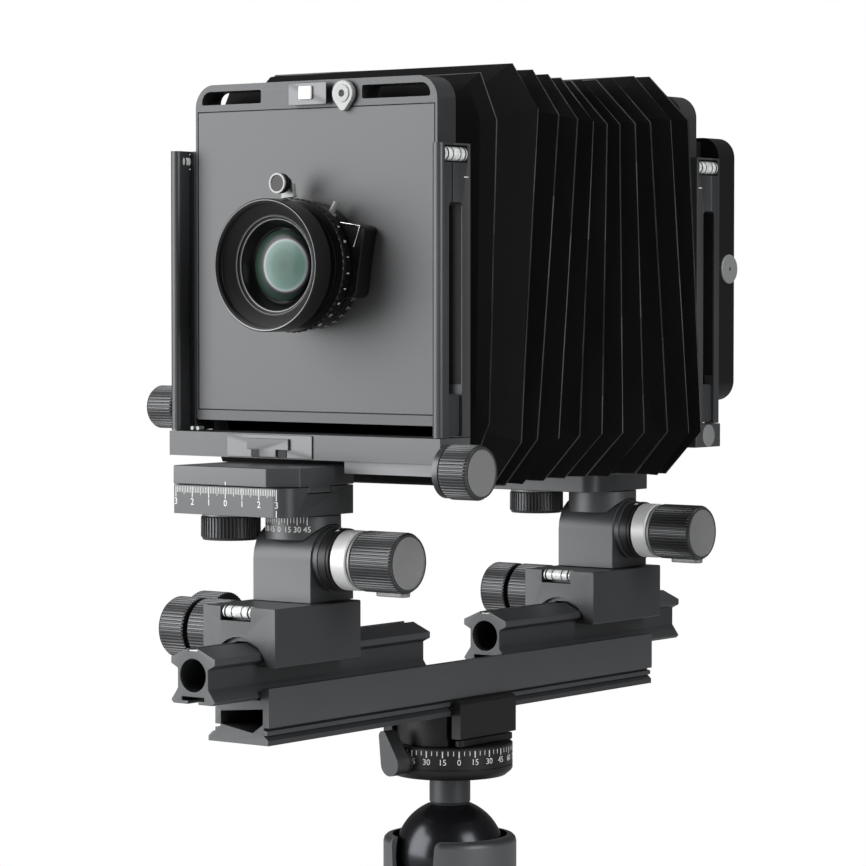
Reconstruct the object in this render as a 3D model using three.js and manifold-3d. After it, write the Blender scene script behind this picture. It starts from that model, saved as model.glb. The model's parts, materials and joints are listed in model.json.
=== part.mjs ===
// A monorail view camera on a ball head, in millimetres, +Z up.
// X runs to the right as seen from the lens side, Y runs from the lens to the ground glass,
// and the origin is the centre of the ball head's flat base.
import * as THREE from 'three';
import { mergeVertices } from 'three/addons/utils/BufferGeometryUtils.js';
import Module from 'manifold-3d';

const wasm = await Module();
wasm.setup();

// ---------- driving dimensions ----------

const gap = 0.3; // between pieces that touch
const runningGap = 0.35; // between pieces that slide or turn on each other

const head = {
  ballCentre: 63.8, // height of the ball's centre
  ballRadius: 27,
  cupWall: 1.8, // friction cup round the ball
  cavityPlay: 0.85, // round the cup
  bodyRadius: 32.8,
  rimRise: 10, // housing rim above the ball's centre
  neckRadius: 10.1,
  neckLength: 39.8, // ball's centre to the pan dial's underside
  notchWidth: 24, // drop notch in the housing rim
  notchFloor: 8, // below the ball's centre
  knobRadius: 11,
  knobLength: 19,
};

const dial = { radius: 30.9, height: 16, leverReach: 41.7, leverSwing: 82 };

const clamp = {
  height: 15.1,
  radius: 27,
  length: 46, // along the rail
  wall: 5.4, // thickness of a jaw
  leverHeight: 3.6,
  opening: 3, // travel of the moving jaw
};

const boardSize = 141;
const boardThickness = 3;

const upperRailHalf = 13; // over the wings and over the foot of an upper rail

const baseRail = {
  length: 314,
  frontEnd: -161, // y of its front end
  channelHalf: upperRailHalf + 1.6, // channel for the upper rails
  wall: 3.6, // beside the channel
  footHalf: 17.8, // the dovetail foot that the clamp holds
  footWaist: 15.2,
  footHeight: 2.3,
  footGroove: 2.3,
  height: 26,
  channelFloor: 20.4, // above the underside
};
baseRail.halfWidth = baseRail.channelHalf + baseRail.wall;

const upperRail = {
  halfWidth: upperRailHalf,
  webHalf: upperRailHalf - 4,
  height: 25.1,
  wingTop: 4.3, // below the crown
  wingEdge: 2.9,
  footHeight: 2.4,
  footFlare: 4.6,
  boreRadius: 7.5,
  boreDepth: 12.2, // bore's centre below the crown
  crownHalf: 3,
  frontSpan: [-192.1, -33.3], // y of the front rail's ends
  rearSpan: [29.1, 187],
};

const carrier = {
  halfWidth: upperRailHalf + 8.3,
  height: 26.8,
  grip: 10.6, // depth over the upper rail
  archRadius: 16.6,
  archDepth: 2.5,
  frontSpan: [-160.3, -98],
  rearSpan: [93.8, 156],
};

// The focus knob has two knurled rings with a groove between them; the lock knob stands further out.
const focusKnob = {
  radius: 14.4,
  innerRing: 17.4,
  groove: 3,
  outerRing: 15,
  shaftRadius: 4,
  setback: 23, // behind the carrier's front face
  drop: 14, // below the carrier's top
};
const focusLock = { radius: 14.4, length: 18, reach: 50, setback: 52.1 };

const post = {
  halfWidth: 17,
  radius: 15.85, // half-round top about the tilt axis
  axisRise: 19.8, // tilt axis above the carrier
  bossRadius: 15,
  bossLength: 3,
  slotHalf: 5,
  axleRadius: 6,
  frontAxis: -113.95, // y of the tilt axis
  rearAxis: 133.3,
};

const tiltHead = { radius: 17.6, topRise: 20.3, bottomRise: 8.2, pinRadius: 6, pinHeight: 4 };
const tiltCollar = { start: 20.4, length: 15, radius: 13.9 };
const tiltKnob = { length: 26, radius: 14, capLength: 1.2, shaftRadius: 5, shaftDepth: 8 };

const shiftPlate = {
  left: 48,
  right: 19,
  height: 13.3,
  corner: 8,
  ahead: 36.5, // of the tilt axis, towards the lens side
  behind: 14,
  slideHeight: 8.7,
  slideCut: 11, // the slide's cut front right corner
  tongueHalf: 9,
  tongueHeight: 3,
};
const shiftKnob = { radius: 14, height: 12.5, x: -33, ahead: 13, shaftRadius: 4 };

const base = {
  tiltGap: 2.5, // between the shift slide and the base's underside
  height: 11.6,
  front: 9.6, // ahead of the board's face
  back: 13.2,
};

const column = {
  thickness: 8.5,
  height: 132.8,
  lip: 5.5,
  lipRound: 2.6,
  slotTop: 26.6, // below the column's top
  slotFront: 3,
  slotBack: 7,
  vialDepth: 5.2,
  vialDrop: 0.9,
  vialHeight: 7.8,
};

const frame = {
  margin: 1.5, // beside the board
  sill: 5, // under the board
  topBar: 12.9, // over the board
  depth: 13.9,
  corner: 11,
  foot: 1.5, // radius of the bottom corners
  lockLeft: 31.5, // solid stretch of the top bar that carries the board lock
  lockRight: 28.8,
  restClearance: 5.3, // over the base at rest
  window: 121, // opening for the bellows
  sliderHeight: 19,
};

const orbixKnob = { radius: 12.5, length: 19.6, drop: 3.2, y: -5, barHeight: 5.6 };
const riseKnob = { radius: 10.3, length: 17, rise: 10.8, depth: 3, shaftRadius: 2 };

const lens = {
  shutterRadius: 29.5,
  shutterDepth: 17,
  mountRadius: 17.5, // shutter thread through the board
  ringRadius: 31,
  ringLength: 6,
  rimRadius: 30.5,
  drop: 2.5, // lens axis below the board's centre
  rimLength: 18,
  cellRadius: 24.5,
  glassRadius: 16.5,
  glassEdge: 1.2,
  glassBulge: 4.4,
  leverX: -7.4, // cocking lever's knob
  leverRise: 38, // above the lens axis
  leverKnob: 4.8,
};

const bellows = {
  halfWidth: 88,
  top: 91, // above the lens axis
  bottom: 106, // below the lens axis
  chamferX: 18,
  chamferZ: 22,
  wall: 3,
  // one length for each movement that the bellows takes up, from the rear frame to the front frame
  lengths: [11.2, 9, 18, 31, 24, 24, 31, 16, 8, 8, 8],
};

const back = {
  sideInset: 1.8, // inside the columns' outer faces
  topInset: 7.3, // below the board's top edge
  bottomInset: 0.9,
  corner: 10,
  depth: 15,
  openingHalf: 62,
  openingRise: 50, // half height
  seat: 3, // ledge round the opening that the glass lies on
  seatDepth: 6,
  glass: 2,
};

// ---------- heights, from the base up ----------

const neckTop = head.ballCentre + head.neckLength;
const dialTop = neckTop + dial.height;
const clampBottom = dialTop + gap;
const clampTop = clampBottom + clamp.height;
const railBottom = clampTop + gap;
const upperRailBottom = railBottom + baseRail.channelFloor + runningGap;
const upperRailTop = upperRailBottom + upperRail.height;
const carrierBottom = upperRailTop - carrier.grip;
const carrierTop = carrierBottom + carrier.height;
const tiltAxisHeight = carrierTop + post.axisRise;
const tiltHeadTop = tiltAxisHeight + tiltHead.topRise;
const shiftPlateBottom = tiltHeadTop + gap;
const shiftPlateTop = shiftPlateBottom + shiftPlate.height;
const slideBottom = shiftPlateTop + gap;
const slideTop = slideBottom + shiftPlate.slideHeight;
const baseBottom = slideTop + base.tiltGap;
const baseTop = baseBottom + base.height;
const lensAxis = baseTop + frame.restClearance + frame.sill + boardSize / 2;

const frameHalf = boardSize / 2 + frame.margin;
const columnInner = frameHalf + gap;
const columnOuter = columnInner + column.thickness;
const columnBottom = baseTop + gap;
const columnTop = columnBottom + column.height;
const frameBottom = baseTop + frame.restClearance;
const frameTop = lensAxis + boardSize / 2 + frame.topBar;
const lensHeight = lensAxis - lens.drop;

const bellowsLength = bellows.lengths.reduce((sum, length) => sum + length, 0);
const frontPlane = -106.2; // y of the lens board's face
const rearPlane = frontPlane + 2 * frame.depth + bellowsLength + 2 * gap; // y of the rear frame's outer face

// ---------- finishes ----------

const finishes = {
  anodised: [0x35373a, 0.42, 0.75],
  darkAnodised: [0x1b1c1e, 0.45, 0.7],
  board: [0x4b4e51, 0.5, 0.6],
  silver: [0xc9cbcc, 0.3, 0.95],
  knob: [0x232425, 0.5, 0.6],
  lensBlack: [0x101113, 0.35, 0.5],
  lensGlass: [0x6f8f86, 0.05, 0],
  groundGlass: [0xd8dcda, 0.6, 0],
  bellowsCloth: [0x141414, 0.85, 0],
};

const materials = Object.fromEntries(
  Object.entries(finishes).map(([name, [color, roughness, metalness]]) => [
    name,
    new THREE.MeshStandardMaterial({ color, roughness, metalness, name }),
  ]),
);

// ---------- shape helpers ----------

function solid(geometry) {
  const plain = geometry.index ? geometry.toNonIndexed() : geometry;
  plain.deleteAttribute('normal');
  plain.deleteAttribute('uv');
  const merged = mergeVertices(plain, 1e-4);
  return new wasm.Manifold(new wasm.Mesh({
    numProp: 3,
    vertProperties: new Float32Array(merged.attributes.position.array),
    triVerts: new Uint32Array(merged.index.array),
  }));
}

function block([x0, x1], [y0, y1], [z0, z1]) {
  const geometry = new THREE.BoxGeometry(Math.abs(x1 - x0), Math.abs(y1 - y0), Math.abs(z1 - z0));
  geometry.translate((x0 + x1) / 2, (y0 + y1) / 2, (z0 + z1) / 2);
  return solid(geometry);
}

// Turns a solid built along +Z so that it runs along the named axis, then moves it.
const turns = {
  z: new THREE.Matrix4(),
  x: new THREE.Matrix4().makeBasis(
    new THREE.Vector3(0, 1, 0), new THREE.Vector3(0, 0, 1), new THREE.Vector3(1, 0, 0)),
  y: new THREE.Matrix4().makeBasis(
    new THREE.Vector3(-1, 0, 0), new THREE.Vector3(0, 0, 1), new THREE.Vector3(0, 1, 0)),
};

function place(geometry, axis, [x, y, z]) {
  geometry.applyMatrix4(turns[axis]);
  geometry.translate(x, y, z);
  return solid(geometry);
}

// A cylinder that starts at a point and runs along an axis; a negative length runs the other way.
function rod(axis, start, length, radius, sides = 32) {
  const geometry = new THREE.CylinderGeometry(radius, radius, Math.abs(length), sides);
  geometry.rotateX(Math.PI / 2);
  geometry.translate(0, 0, length / 2);
  return place(geometry, axis, start);
}

// A turned piece; each profile point is [radius, distance along the axis].
function turned(axis, start, profile, sides = 32) {
  const closed = profile[0][0] > 0.001 ? [...profile, profile[0]] : profile;
  const geometry = new THREE.LatheGeometry(
    closed.map(([radius, along]) => new THREE.Vector2(radius, along)), sides);
  geometry.rotateX(Math.PI / 2);
  const made = mergeVertices(stripped(geometry), 1e-4);
  made.applyMatrix4(turns[axis]);
  made.translate(...start);
  return upright(made);
}

function stripped(geometry) {
  geometry.deleteAttribute('normal');
  geometry.deleteAttribute('uv');
  return geometry;
}

// A turned profile may run either way round, so its faces are turned out here.
function upright(geometry) {
  const position = geometry.attributes.position.array;
  const index = geometry.index.array;
  const triangles = [];
  let volume = 0;
  for (let i = 0; i < index.length; i += 3) {
    const corners = [index[i], index[i + 1], index[i + 2]];
    if (new Set(corners).size < 3) continue;
    const [a, b, c] = corners.map((n) => new THREE.Vector3().fromArray(position, 3 * n));
    volume += a.dot(b.cross(c));
    triangles.push(corners);
  }
  const facing = volume > 0 ? triangles : triangles.map(([a, b, c]) => [a, c, b]);
  return new wasm.Manifold(new wasm.Mesh({
    numProp: 3,
    vertProperties: new Float32Array(position),
    triVerts: new Uint32Array(facing.flat()),
  }));
}

// An outline pushed from one place to another along an axis. Across x it is drawn in (y, z),
// across y in (x, z), across z in (x, y).
function prism(axis, outline, from, to) {
  const shape = outline instanceof THREE.Shape ? outline : new THREE.Shape(
    outline.map(([u, v]) => new THREE.Vector2(u, v)));
  const low = Math.min(from, to);
  const high = Math.max(from, to);
  const geometry = new THREE.ExtrudeGeometry(shape, {
    depth: high - low, bevelEnabled: false, curveSegments: 6,
  });
  if (axis === 'x') {
    geometry.applyMatrix4(turns.x);
    geometry.translate(low, 0, 0);
  } else if (axis === 'y') {
    geometry.rotateX(Math.PI / 2);
    geometry.translate(0, high, 0);
  } else {
    geometry.translate(0, 0, low);
  }
  return solid(geometry);
}

// A rectangle with rounded corners; the radii run bottom left, bottom right, top right, top left.
function rounded([u0, u1], [v0, v1], radii) {
  const [a, b, c, d] = Array.isArray(radii) ? radii : [radii, radii, radii, radii];
  const shape = new THREE.Shape();
  shape.moveTo(u0 + a, v0);
  shape.lineTo(u1 - b, v0);
  if (b > 0) shape.absarc(u1 - b, v0 + b, b, -Math.PI / 2, 0);
  shape.lineTo(u1, v1 - c);
  if (c > 0) shape.absarc(u1 - c, v1 - c, c, 0, Math.PI / 2);
  shape.lineTo(u0 + d, v1);
  if (d > 0) shape.absarc(u0 + d, v1 - d, d, Math.PI / 2, Math.PI);
  shape.lineTo(u0, v0 + a);
  if (a > 0) shape.absarc(u0 + a, v0 + a, a, Math.PI, Math.PI * 1.5);
  return shape;
}

// The stretch between two places in either order, made longer at both ends.
function span(a, b, extra = 0) {
  return [Math.min(a, b) - extra, Math.max(a, b) + extra];
}

const group = new THREE.Group();

function add(name, shape, finish) {
  const { vertProperties, triVerts, numProp } = shape.getMesh();
  const geometry = new THREE.BufferGeometry();
  const positions = new Float32Array((vertProperties.length / numProp) * 3);
  for (let i = 0; i < positions.length / 3; i += 1) {
    positions.set(vertProperties.subarray(i * numProp, i * numProp + 3), 3 * i);
  }
  geometry.setAttribute('position', new THREE.BufferAttribute(positions, 3));
  geometry.setIndex(new THREE.BufferAttribute(new Uint32Array(triVerts), 1));
  geometry.computeVertexNormals();
  const mesh = new THREE.Mesh(geometry, materials[finish]);
  mesh.name = name;
  group.add(mesh);
}

// ---------- ball head ----------

function arcProfile(radius, fromDegrees, toDegrees, steps) {
  return Array.from({ length: steps + 1 }, (_, i) => {
    const angle = THREE.MathUtils.degToRad(fromDegrees + ((toDegrees - fromDegrees) * i) / steps);
    return [Math.max(0, radius * Math.sin(angle)), -radius * Math.cos(angle)];
  });
}

function ballHead() {
  const centre = [0, 0, head.ballCentre];
  const cupInner = head.ballRadius + runningGap;
  const cupOuter = cupInner + head.cupWall;
  const cavity = cupOuter + head.cavityPlay;
  const rim = head.ballCentre + head.rimRise;
  const bevel = 3;
  const body = turned('z', [0, 0, 0], [
    [0, 0],
    [head.bodyRadius - 1.5, 0],
    [head.bodyRadius, 1.5],
    [head.bodyRadius, rim - bevel],
    [head.bodyRadius - bevel, rim],
    [0, rim],
  ], 32);
  const hollow = turned('z', centre, arcProfile(cavity, 0, 180, 10), 32);
  const mouthRadius = Math.sqrt(cavity ** 2 - head.rimRise ** 2);
  const mouth = rod('z', [0, 0, rim - 2], 10, mouthRadius, 32);
  const notchHalf = head.notchWidth / 2;
  const notchBottom = head.ballCentre - head.notchFloor;
  const notch = block([-notchHalf, notchHalf], [-head.bodyRadius - 1, 0], [notchBottom, rim + 1])
    .add(rod('y', [0, 0, notchBottom], -head.bodyRadius - 1, notchHalf, 24));
  const knobBore = rod('x', [0, 0, 0], -head.bodyRadius - 1, 4 + runningGap, 20)
    .translate([0, 0, head.ballCentre - 24]);
  const knobSeat = rod('x', [0, 0, 0], -5, 9.5, 24)
    .translate([-head.bodyRadius + 2, 0, head.ballCentre - 24]);
  add('head_housing', body.subtract(hollow).subtract(mouth).subtract(notch)
    .subtract(knobBore).subtract(knobSeat), 'anodised');

  const cup = turned('z', centre, [
    ...arcProfile(cupOuter, 30, 68, 3),
    ...arcProfile(cupInner, 68, 30, 3),
  ], 28);
  add('ball_cup', cup, 'silver');

  const neckStart = Math.sqrt(head.ballRadius ** 2 - head.neckRadius ** 2) - 1;
  const neckBottom = head.ballCentre + neckStart;
  const neck = rod('z', [0, 0, neckBottom], neckTop - neckBottom, head.neckRadius, 32);
  const sphere = turned('z', centre, arcProfile(head.ballRadius, 0, 180, 14), 28);
  const dialDrum = turned('z', [0, 0, neckTop], [
    [0, 0],
    [dial.radius - 2.2, 0],
    [dial.radius, 1.8],
    [dial.radius, dial.height],
    [0, dial.height],
  ], 32);
  const dialSeat = rod('z', [0, 0, neckTop - gap], 8, head.neckRadius + 1);
  add('head_ball', sphere.add(neck).subtract(dialSeat), 'darkAnodised');

  const panPin = rod('z', [0, 0, dialTop - 1], 5, 6, 24);
  const leverAngle = THREE.MathUtils.degToRad(dial.leverSwing);
  const leverHeight = neckTop + dial.height * 0.52;
  const leverBore = aim(rod('z', [0, 0, 14], 30, 3 + runningGap, 20), leverAngle, leverHeight);
  add('pan_dial', dialDrum.add(panPin).subtract(leverBore), 'anodised');

  const lobe = rounded([-5.8, 5.8], [-5.8, 5.8], 5.7);
  const handle = new THREE.Shape();
  handle.absarc(0, 0, 6, THREE.MathUtils.degToRad(-20), THREE.MathUtils.degToRad(200));
  handle.absarc(0, -14, 2.6, THREE.MathUtils.degToRad(200), THREE.MathUtils.degToRad(340));
  const leverThickness = 8;
  const leverFace = dial.leverReach - leverThickness;
  const lever = prism('z', handle, leverFace, dial.leverReach)
    .add(prism('z', lobe, dial.radius + gap, leverFace + 1))
    .add(rod('z', [0, 0, 15], leverFace - 14, 3, 20));
  add('pan_lever', aim(lever.rotate([0, 0, 20]), leverAngle, leverHeight), 'knob');

  const knobStart = -head.bodyRadius + 1.5;
  const knobHeight = head.ballCentre - 24;
  const frictionKnob = turned('x', [0, 0, knobHeight], [
    [0, knobStart - head.knobLength - 3],
    [head.knobRadius - 1, knobStart - head.knobLength - 3],
    [head.knobRadius, knobStart - head.knobLength - 2],
    [head.knobRadius, knobStart - 5],
    [8.5, knobStart - 3],
    [8.5, knobStart - 0.5],
    [4, knobStart - 0.5],
    [4, knobStart + 8],
    [0, knobStart + 8],
  ], 32);
  add('friction_knob', frictionKnob, 'knob');
}

// Points a solid built along +Z level and outward at an angle from -X, at a height.
function aim(shape, angle, height) {
  const heading = 90 + THREE.MathUtils.radToDeg(angle);
  return shape.rotate([-90, 0, 0]).rotate([0, 0, heading]).translate([0, 0, height]);
}

// ---------- quick-release clamp ----------

function clampParts() {
  const jawInner = baseRail.footHalf + runningGap;
  const jawOuter = jawInner + clamp.wall;
  const footTop = railBottom + baseRail.footHeight;
  const lipTop = footTop + baseRail.footGroove - 0.4;
  const lipReach = baseRail.footWaist + 1.2;
  const footSlope = baseRail.footGroove / (baseRail.footHalf - baseRail.footWaist);
  const lipUnderside = footTop + footSlope * (baseRail.footHalf - lipReach) + runningGap;
  const half = clamp.length / 2;
  const jawOutline = (sign, bottom) => [
    [sign * jawInner, bottom],
    [sign * jawOuter, bottom],
    [sign * jawOuter, lipTop + 1.5],
    [sign * (jawOuter - 1.5), lipTop + 3],
    [sign * (jawInner + 0.6), lipTop + 3],
    [sign * (jawInner + 0.6), lipTop],
    [sign * lipReach, lipTop],
    [sign * lipReach, Math.min(lipUnderside, lipTop - 0.2)],
    [sign * jawInner, footTop + 0.5],
  ];
  const jawSeat = clampBottom + clamp.leverHeight + 2 * gap;
  const left = prism('y', jawOutline(-1, clampBottom + 2).reverse(), -half, half);
  const slot = block([jawInner - 3 - gap, 60], [-60, 60], [jawSeat - gap, clampTop + 1]);
  const leverRoom = block([jawInner - 3, 60], [-60, 60], [clampBottom - 1, jawSeat]);
  const body = rod('z', [0, 0, clampBottom], clamp.height, clamp.radius, 32)
    .add(left)
    .subtract(block([jawInner - 1, 60], [-60, 60], [clampBottom - 1, clampTop + 30]))
    .subtract(slot)
    .subtract(leverRoom)
    .subtract(rod('z', [0, 0, dialTop - 1], 5 + runningGap, 6 + runningGap, 24))
    .add(rod('z', [7, -22.5, clampTop - 1], 3.6, 1.3, 16).intersect(
      block([0, 20], [-40, 0], [clampTop - 1, clampTop + gap - 0.1])));
  add('clamp_body', body, 'anodised');

  const jaw = prism('y', jawOutline(1, jawSeat), -half, half)
    .add(block([jawInner - 3, jawInner + 1], [-half + 4, half - 4], [jawSeat, clampTop - 1]));
  add('clamp_jaw', jaw, 'darkAnodised');

  const pivotY = half - 4;
  const middle = jawInner + clamp.wall / 2;
  const lever = prism('z', rounded([middle - 2.6, middle + 2.6], [-half + 1, pivotY + 2.6], 2.5),
    clampBottom + gap, clampBottom + gap + clamp.leverHeight - gap);
  add('clamp_lever', lever, 'anodised');
}

// ---------- rails ----------

// Section of the base rail: a dovetail foot, two grooves, a tall right wall and a lower left wall.
function baseRailOutline() {
  const r = baseRail;
  const top = railBottom + r.height;
  const footTop = railBottom + r.footHeight;
  const lip = footTop + r.footGroove;
  const half = r.halfWidth;
  const floor = railBottom + r.channelFloor;
  const leftTop = railBottom + r.height - 10;
  return [
    [-r.footHalf, railBottom],
    [r.footHalf, railBottom],
    [r.footHalf, footTop],
    [r.footWaist, lip],
    [half - 1, lip],
    [half - 1, lip + 2],
    [half - 3, lip + 2.4],
    [half - 3, lip + 3.5],
    [half, lip + 3.5],
    [half, top],
    [r.channelHalf, top],
    [r.channelHalf - 1.4, floor + 3.4],
    [r.channelHalf - 1.4, floor],
    [-r.channelHalf + 4.6, floor],
    [-r.channelHalf + 2, leftTop],
    [-half + 4.5, leftTop],
    [-half + 4.5, lip + 3.5],
    [-half + 7.5, lip + 3.5],
    [-half + 7.5, lip + 2.4],
    [-half + 4.5, lip + 2],
    [-half + 4.5, lip],
    [-r.footWaist, lip],
    [-r.footHalf, footTop],
  ];
}

// Section of an upper rail grown by a clearance, about the plane X = 0.
function upperRailOutline(clearance) {
  const r = upperRail;
  const c = clearance;
  const top = upperRailTop + c;
  const wing = upperRailTop - r.wingTop;
  const right = [
    [r.halfWidth - 1.4 + c, upperRailBottom - c],
    [r.halfWidth + c, upperRailBottom + r.footHeight - 1 + c],
    [r.webHalf + c, upperRailBottom + r.footHeight + r.footFlare + c],
    [r.webHalf + c, wing - r.wingEdge - 2 - c],
    [r.halfWidth + c, wing - r.wingEdge - c],
    [r.halfWidth + c, wing + c * 0.6],
    [r.crownHalf + c * 0.6, top],
  ];
  return [...right, ...right.map(([x, z]) => [-x, z]).reverse()];
}

function upperRailPiece([y0, y1]) {
  const boreHeight = upperRailTop - upperRail.boreDepth;
  const bore = rod('y', [0, y0 - 1, boreHeight], y1 - y0 + 2, upperRail.boreRadius, 24);
  const rulerGroove = block([-2.6, 2.6], [y0 - 1, y1 + 1], [upperRailTop - 1.2, upperRailTop + 1]);
  const slot = [
    [-3, upperRailBottom - 1],
    [3, upperRailBottom - 1],
    [3, upperRailBottom + 1.5],
    [6.5, upperRailBottom + 1.5],
    [6.5, upperRailBottom + 3.2],
    [-6.5, upperRailBottom + 3.2],
    [-6.5, upperRailBottom + 1.5],
    [-3, upperRailBottom + 1.5],
  ];
  return prism('y', upperRailOutline(0), y0, y1)
    .subtract(bore)
    .subtract(rulerGroove)
    .subtract(prism('y', slot, y0 - 1, y1 + 1));
}

function rails() {
  const { frontEnd, length, channelHalf } = baseRail;
  const hollow = [
    [-channelHalf + 4.3, railBottom + 8.2],
    [channelHalf - 6, railBottom + 5.3],
    [channelHalf, railBottom + 9.5],
    [channelHalf, railBottom + 16.5],
    [-channelHalf + 4.3, railBottom + 14.2],
  ];
  add('base_rail', prism('y', baseRailOutline(), frontEnd, frontEnd + length)
    .subtract(prism('y', hollow, frontEnd - 1, frontEnd + length + 1)), 'anodised');
  add('front_rail', upperRailPiece(upperRail.frontSpan), 'anodised');
  add('rear_rail', upperRailPiece(upperRail.rearSpan), 'anodised');
}

// ---------- one standard, front or rear ----------

const ends = {
  front: {
    name: 'front',
    y: (depth) => frontPlane + depth,
    carrierSpan: carrier.frontSpan,
    tiltAxis: post.frontAxis,
  },
  rear: {
    name: 'rear',
    y: (depth) => rearPlane - depth,
    carrierSpan: carrier.rearSpan,
    tiltAxis: post.rearAxis,
  },
};

function carriage(end) {
  const [y0, y1] = end.carrierSpan;
  const knobY = y0 + focusKnob.setback;
  const knobZ = carrierTop - focusKnob.drop;
  const lockY = y0 + focusLock.setback;
  const arch = rod('y', [0, y0, upperRailTop - 14], carrier.archDepth, carrier.archRadius, 28);
  const vialSeat = block([-11, 7], [y0, y0 + 6], [carrierTop - 6.5, carrierTop + 1]);
  const boreRadius = focusKnob.shaftRadius + runningGap;
  const shaftBore = (y) => rod('x', [-carrier.halfWidth - 1, y, knobZ], 6, boreRadius, 20);
  const section = rounded([-carrier.halfWidth, carrier.halfWidth], [carrierBottom, carrierTop], 0.8);
  const carrierBlock = prism('y', section, y0, y1)
    .subtract(prism('y', upperRailOutline(runningGap), y0 - 1, y1 + 1))
    .subtract(arch)
    .subtract(vialSeat)
    .subtract(shaftBore(knobY));
  const isFront = end.name === 'front';
  add(`${end.name}_carrier`, isFront ? carrierBlock.subtract(shaftBore(lockY)) : carrierBlock, 'anodised');

  const sideX = -carrier.halfWidth - gap;
  const grooveInner = sideX - focusKnob.innerRing;
  const grooveOuter = grooveInner - focusKnob.groove;
  const knobOuter = grooveOuter - focusKnob.outerRing;
  add(`${end.name}_focus_knob`, turned('x', [0, knobY, knobZ], [
    [0, knobOuter],
    [focusKnob.radius - 1, knobOuter],
    [focusKnob.radius, knobOuter + 1],
    [focusKnob.radius, grooveOuter],
    [focusKnob.radius - 3, grooveOuter],
    [focusKnob.radius - 3, grooveInner],
    [focusKnob.radius, grooveInner],
    [focusKnob.radius, sideX],
    [focusKnob.shaftRadius, sideX],
    [focusKnob.shaftRadius, sideX + 5],
    [0, sideX + 5],
  ], 24), 'knob');
  if (isFront) {
    add('front_focus_lock', turned('x', [0, lockY, knobZ], [
      [0, -focusLock.reach - focusLock.length],
      [focusLock.radius - 1, -focusLock.reach - focusLock.length],
      [focusLock.radius, -focusLock.reach - focusLock.length + 1],
      [focusLock.radius, -focusLock.reach + 1],
      [6, -focusLock.reach + 1],
      [6, sideX],
      [focusKnob.shaftRadius, sideX],
      [focusKnob.shaftRadius, sideX + 5],
      [0, sideX + 5],
    ], 24), 'knob');
  }
}

function tiltSet(end) {
  const axis = end.tiltAxis;
  const centre = [0, axis, tiltAxisHeight];
  const postBottom = carrierTop + gap;
  const halfRound = new THREE.Shape();
  halfRound.moveTo(axis - post.radius, postBottom);
  halfRound.lineTo(axis + post.radius, postBottom);
  halfRound.lineTo(axis + post.radius, tiltAxisHeight);
  halfRound.absarc(axis, tiltAxisHeight, post.radius, 0, Math.PI);
  const postPiece = prism('x', halfRound, -post.halfWidth, post.halfWidth)
    .add(rod('x', [post.halfWidth - 1, axis, tiltAxisHeight], post.bossLength + 1, post.bossRadius, 28))
    .subtract(rod('x', [-post.halfWidth + 3, axis, tiltAxisHeight], 60, post.axleRadius + runningGap, 24))
    .subtract(block([-post.slotHalf, post.slotHalf], [axis - 10, axis + 10],
      [tiltAxisHeight, tiltAxisHeight + post.radius + 2]));
  add(`${end.name}_post`, postPiece, 'anodised');

  const headBottom = tiltAxisHeight + tiltHead.bottomRise;
  const tongueHalf = post.slotHalf - gap;
  const saddle = rod('x', [-30, axis, tiltAxisHeight], 60, post.radius + runningGap, 32);
  const disc = rod('z', [0, axis, headBottom], tiltHeadTop - headBottom, tiltHead.radius, 28)
    .subtract(saddle);
  const tongue = block([-tongueHalf, tongueHalf], [axis - 4, axis + 4],
    [tiltAxisHeight, tiltAxisHeight + post.radius + 3]);
  const axle = rod('x', [-post.halfWidth + 4, axis, tiltAxisHeight],
    tiltCollar.start + post.halfWidth - 3.5, post.axleRadius, 24);
  const collarStart = [tiltCollar.start, axis, tiltAxisHeight];
  const collar = rod('x', collarStart, tiltCollar.length, tiltCollar.radius, 28);
  const collarEnd = tiltCollar.start + tiltCollar.length;
  const pin = rod('z', [0, axis, tiltHeadTop - 1], tiltHead.pinHeight + 1, tiltHead.pinRadius, 24);
  add(`${end.name}_tilt_head`, disc.add(tongue).add(axle).add(collar).add(pin)
    .subtract(rod('x', [collarEnd - tiltKnob.shaftDepth, axis, tiltAxisHeight], 20,
      tiltKnob.shaftRadius + runningGap, 24)), 'silver');

  const knobStart = collarEnd + gap;
  const knobEnd = knobStart + tiltKnob.length;
  const fingerTab = block([knobEnd - 7, knobEnd - 1], [axis - 1, axis + 5],
    [tiltAxisHeight - tiltKnob.radius - 2, tiltAxisHeight - tiltKnob.radius + 2]);
  add(`${end.name}_tilt_knob`, turned('x', centre, [
    [0, collarEnd - tiltKnob.shaftDepth + gap],
    [tiltKnob.shaftRadius, collarEnd - tiltKnob.shaftDepth + gap],
    [tiltKnob.shaftRadius, knobStart],
    [tiltKnob.radius - 0.8, knobStart],
    [tiltKnob.radius, knobStart + 0.8],
    [tiltKnob.radius, knobEnd - tiltKnob.capLength],
    [tiltKnob.radius - 1, knobEnd],
    [0, knobEnd],
  ], 24).add(fingerTab), 'knob');
}

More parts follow.
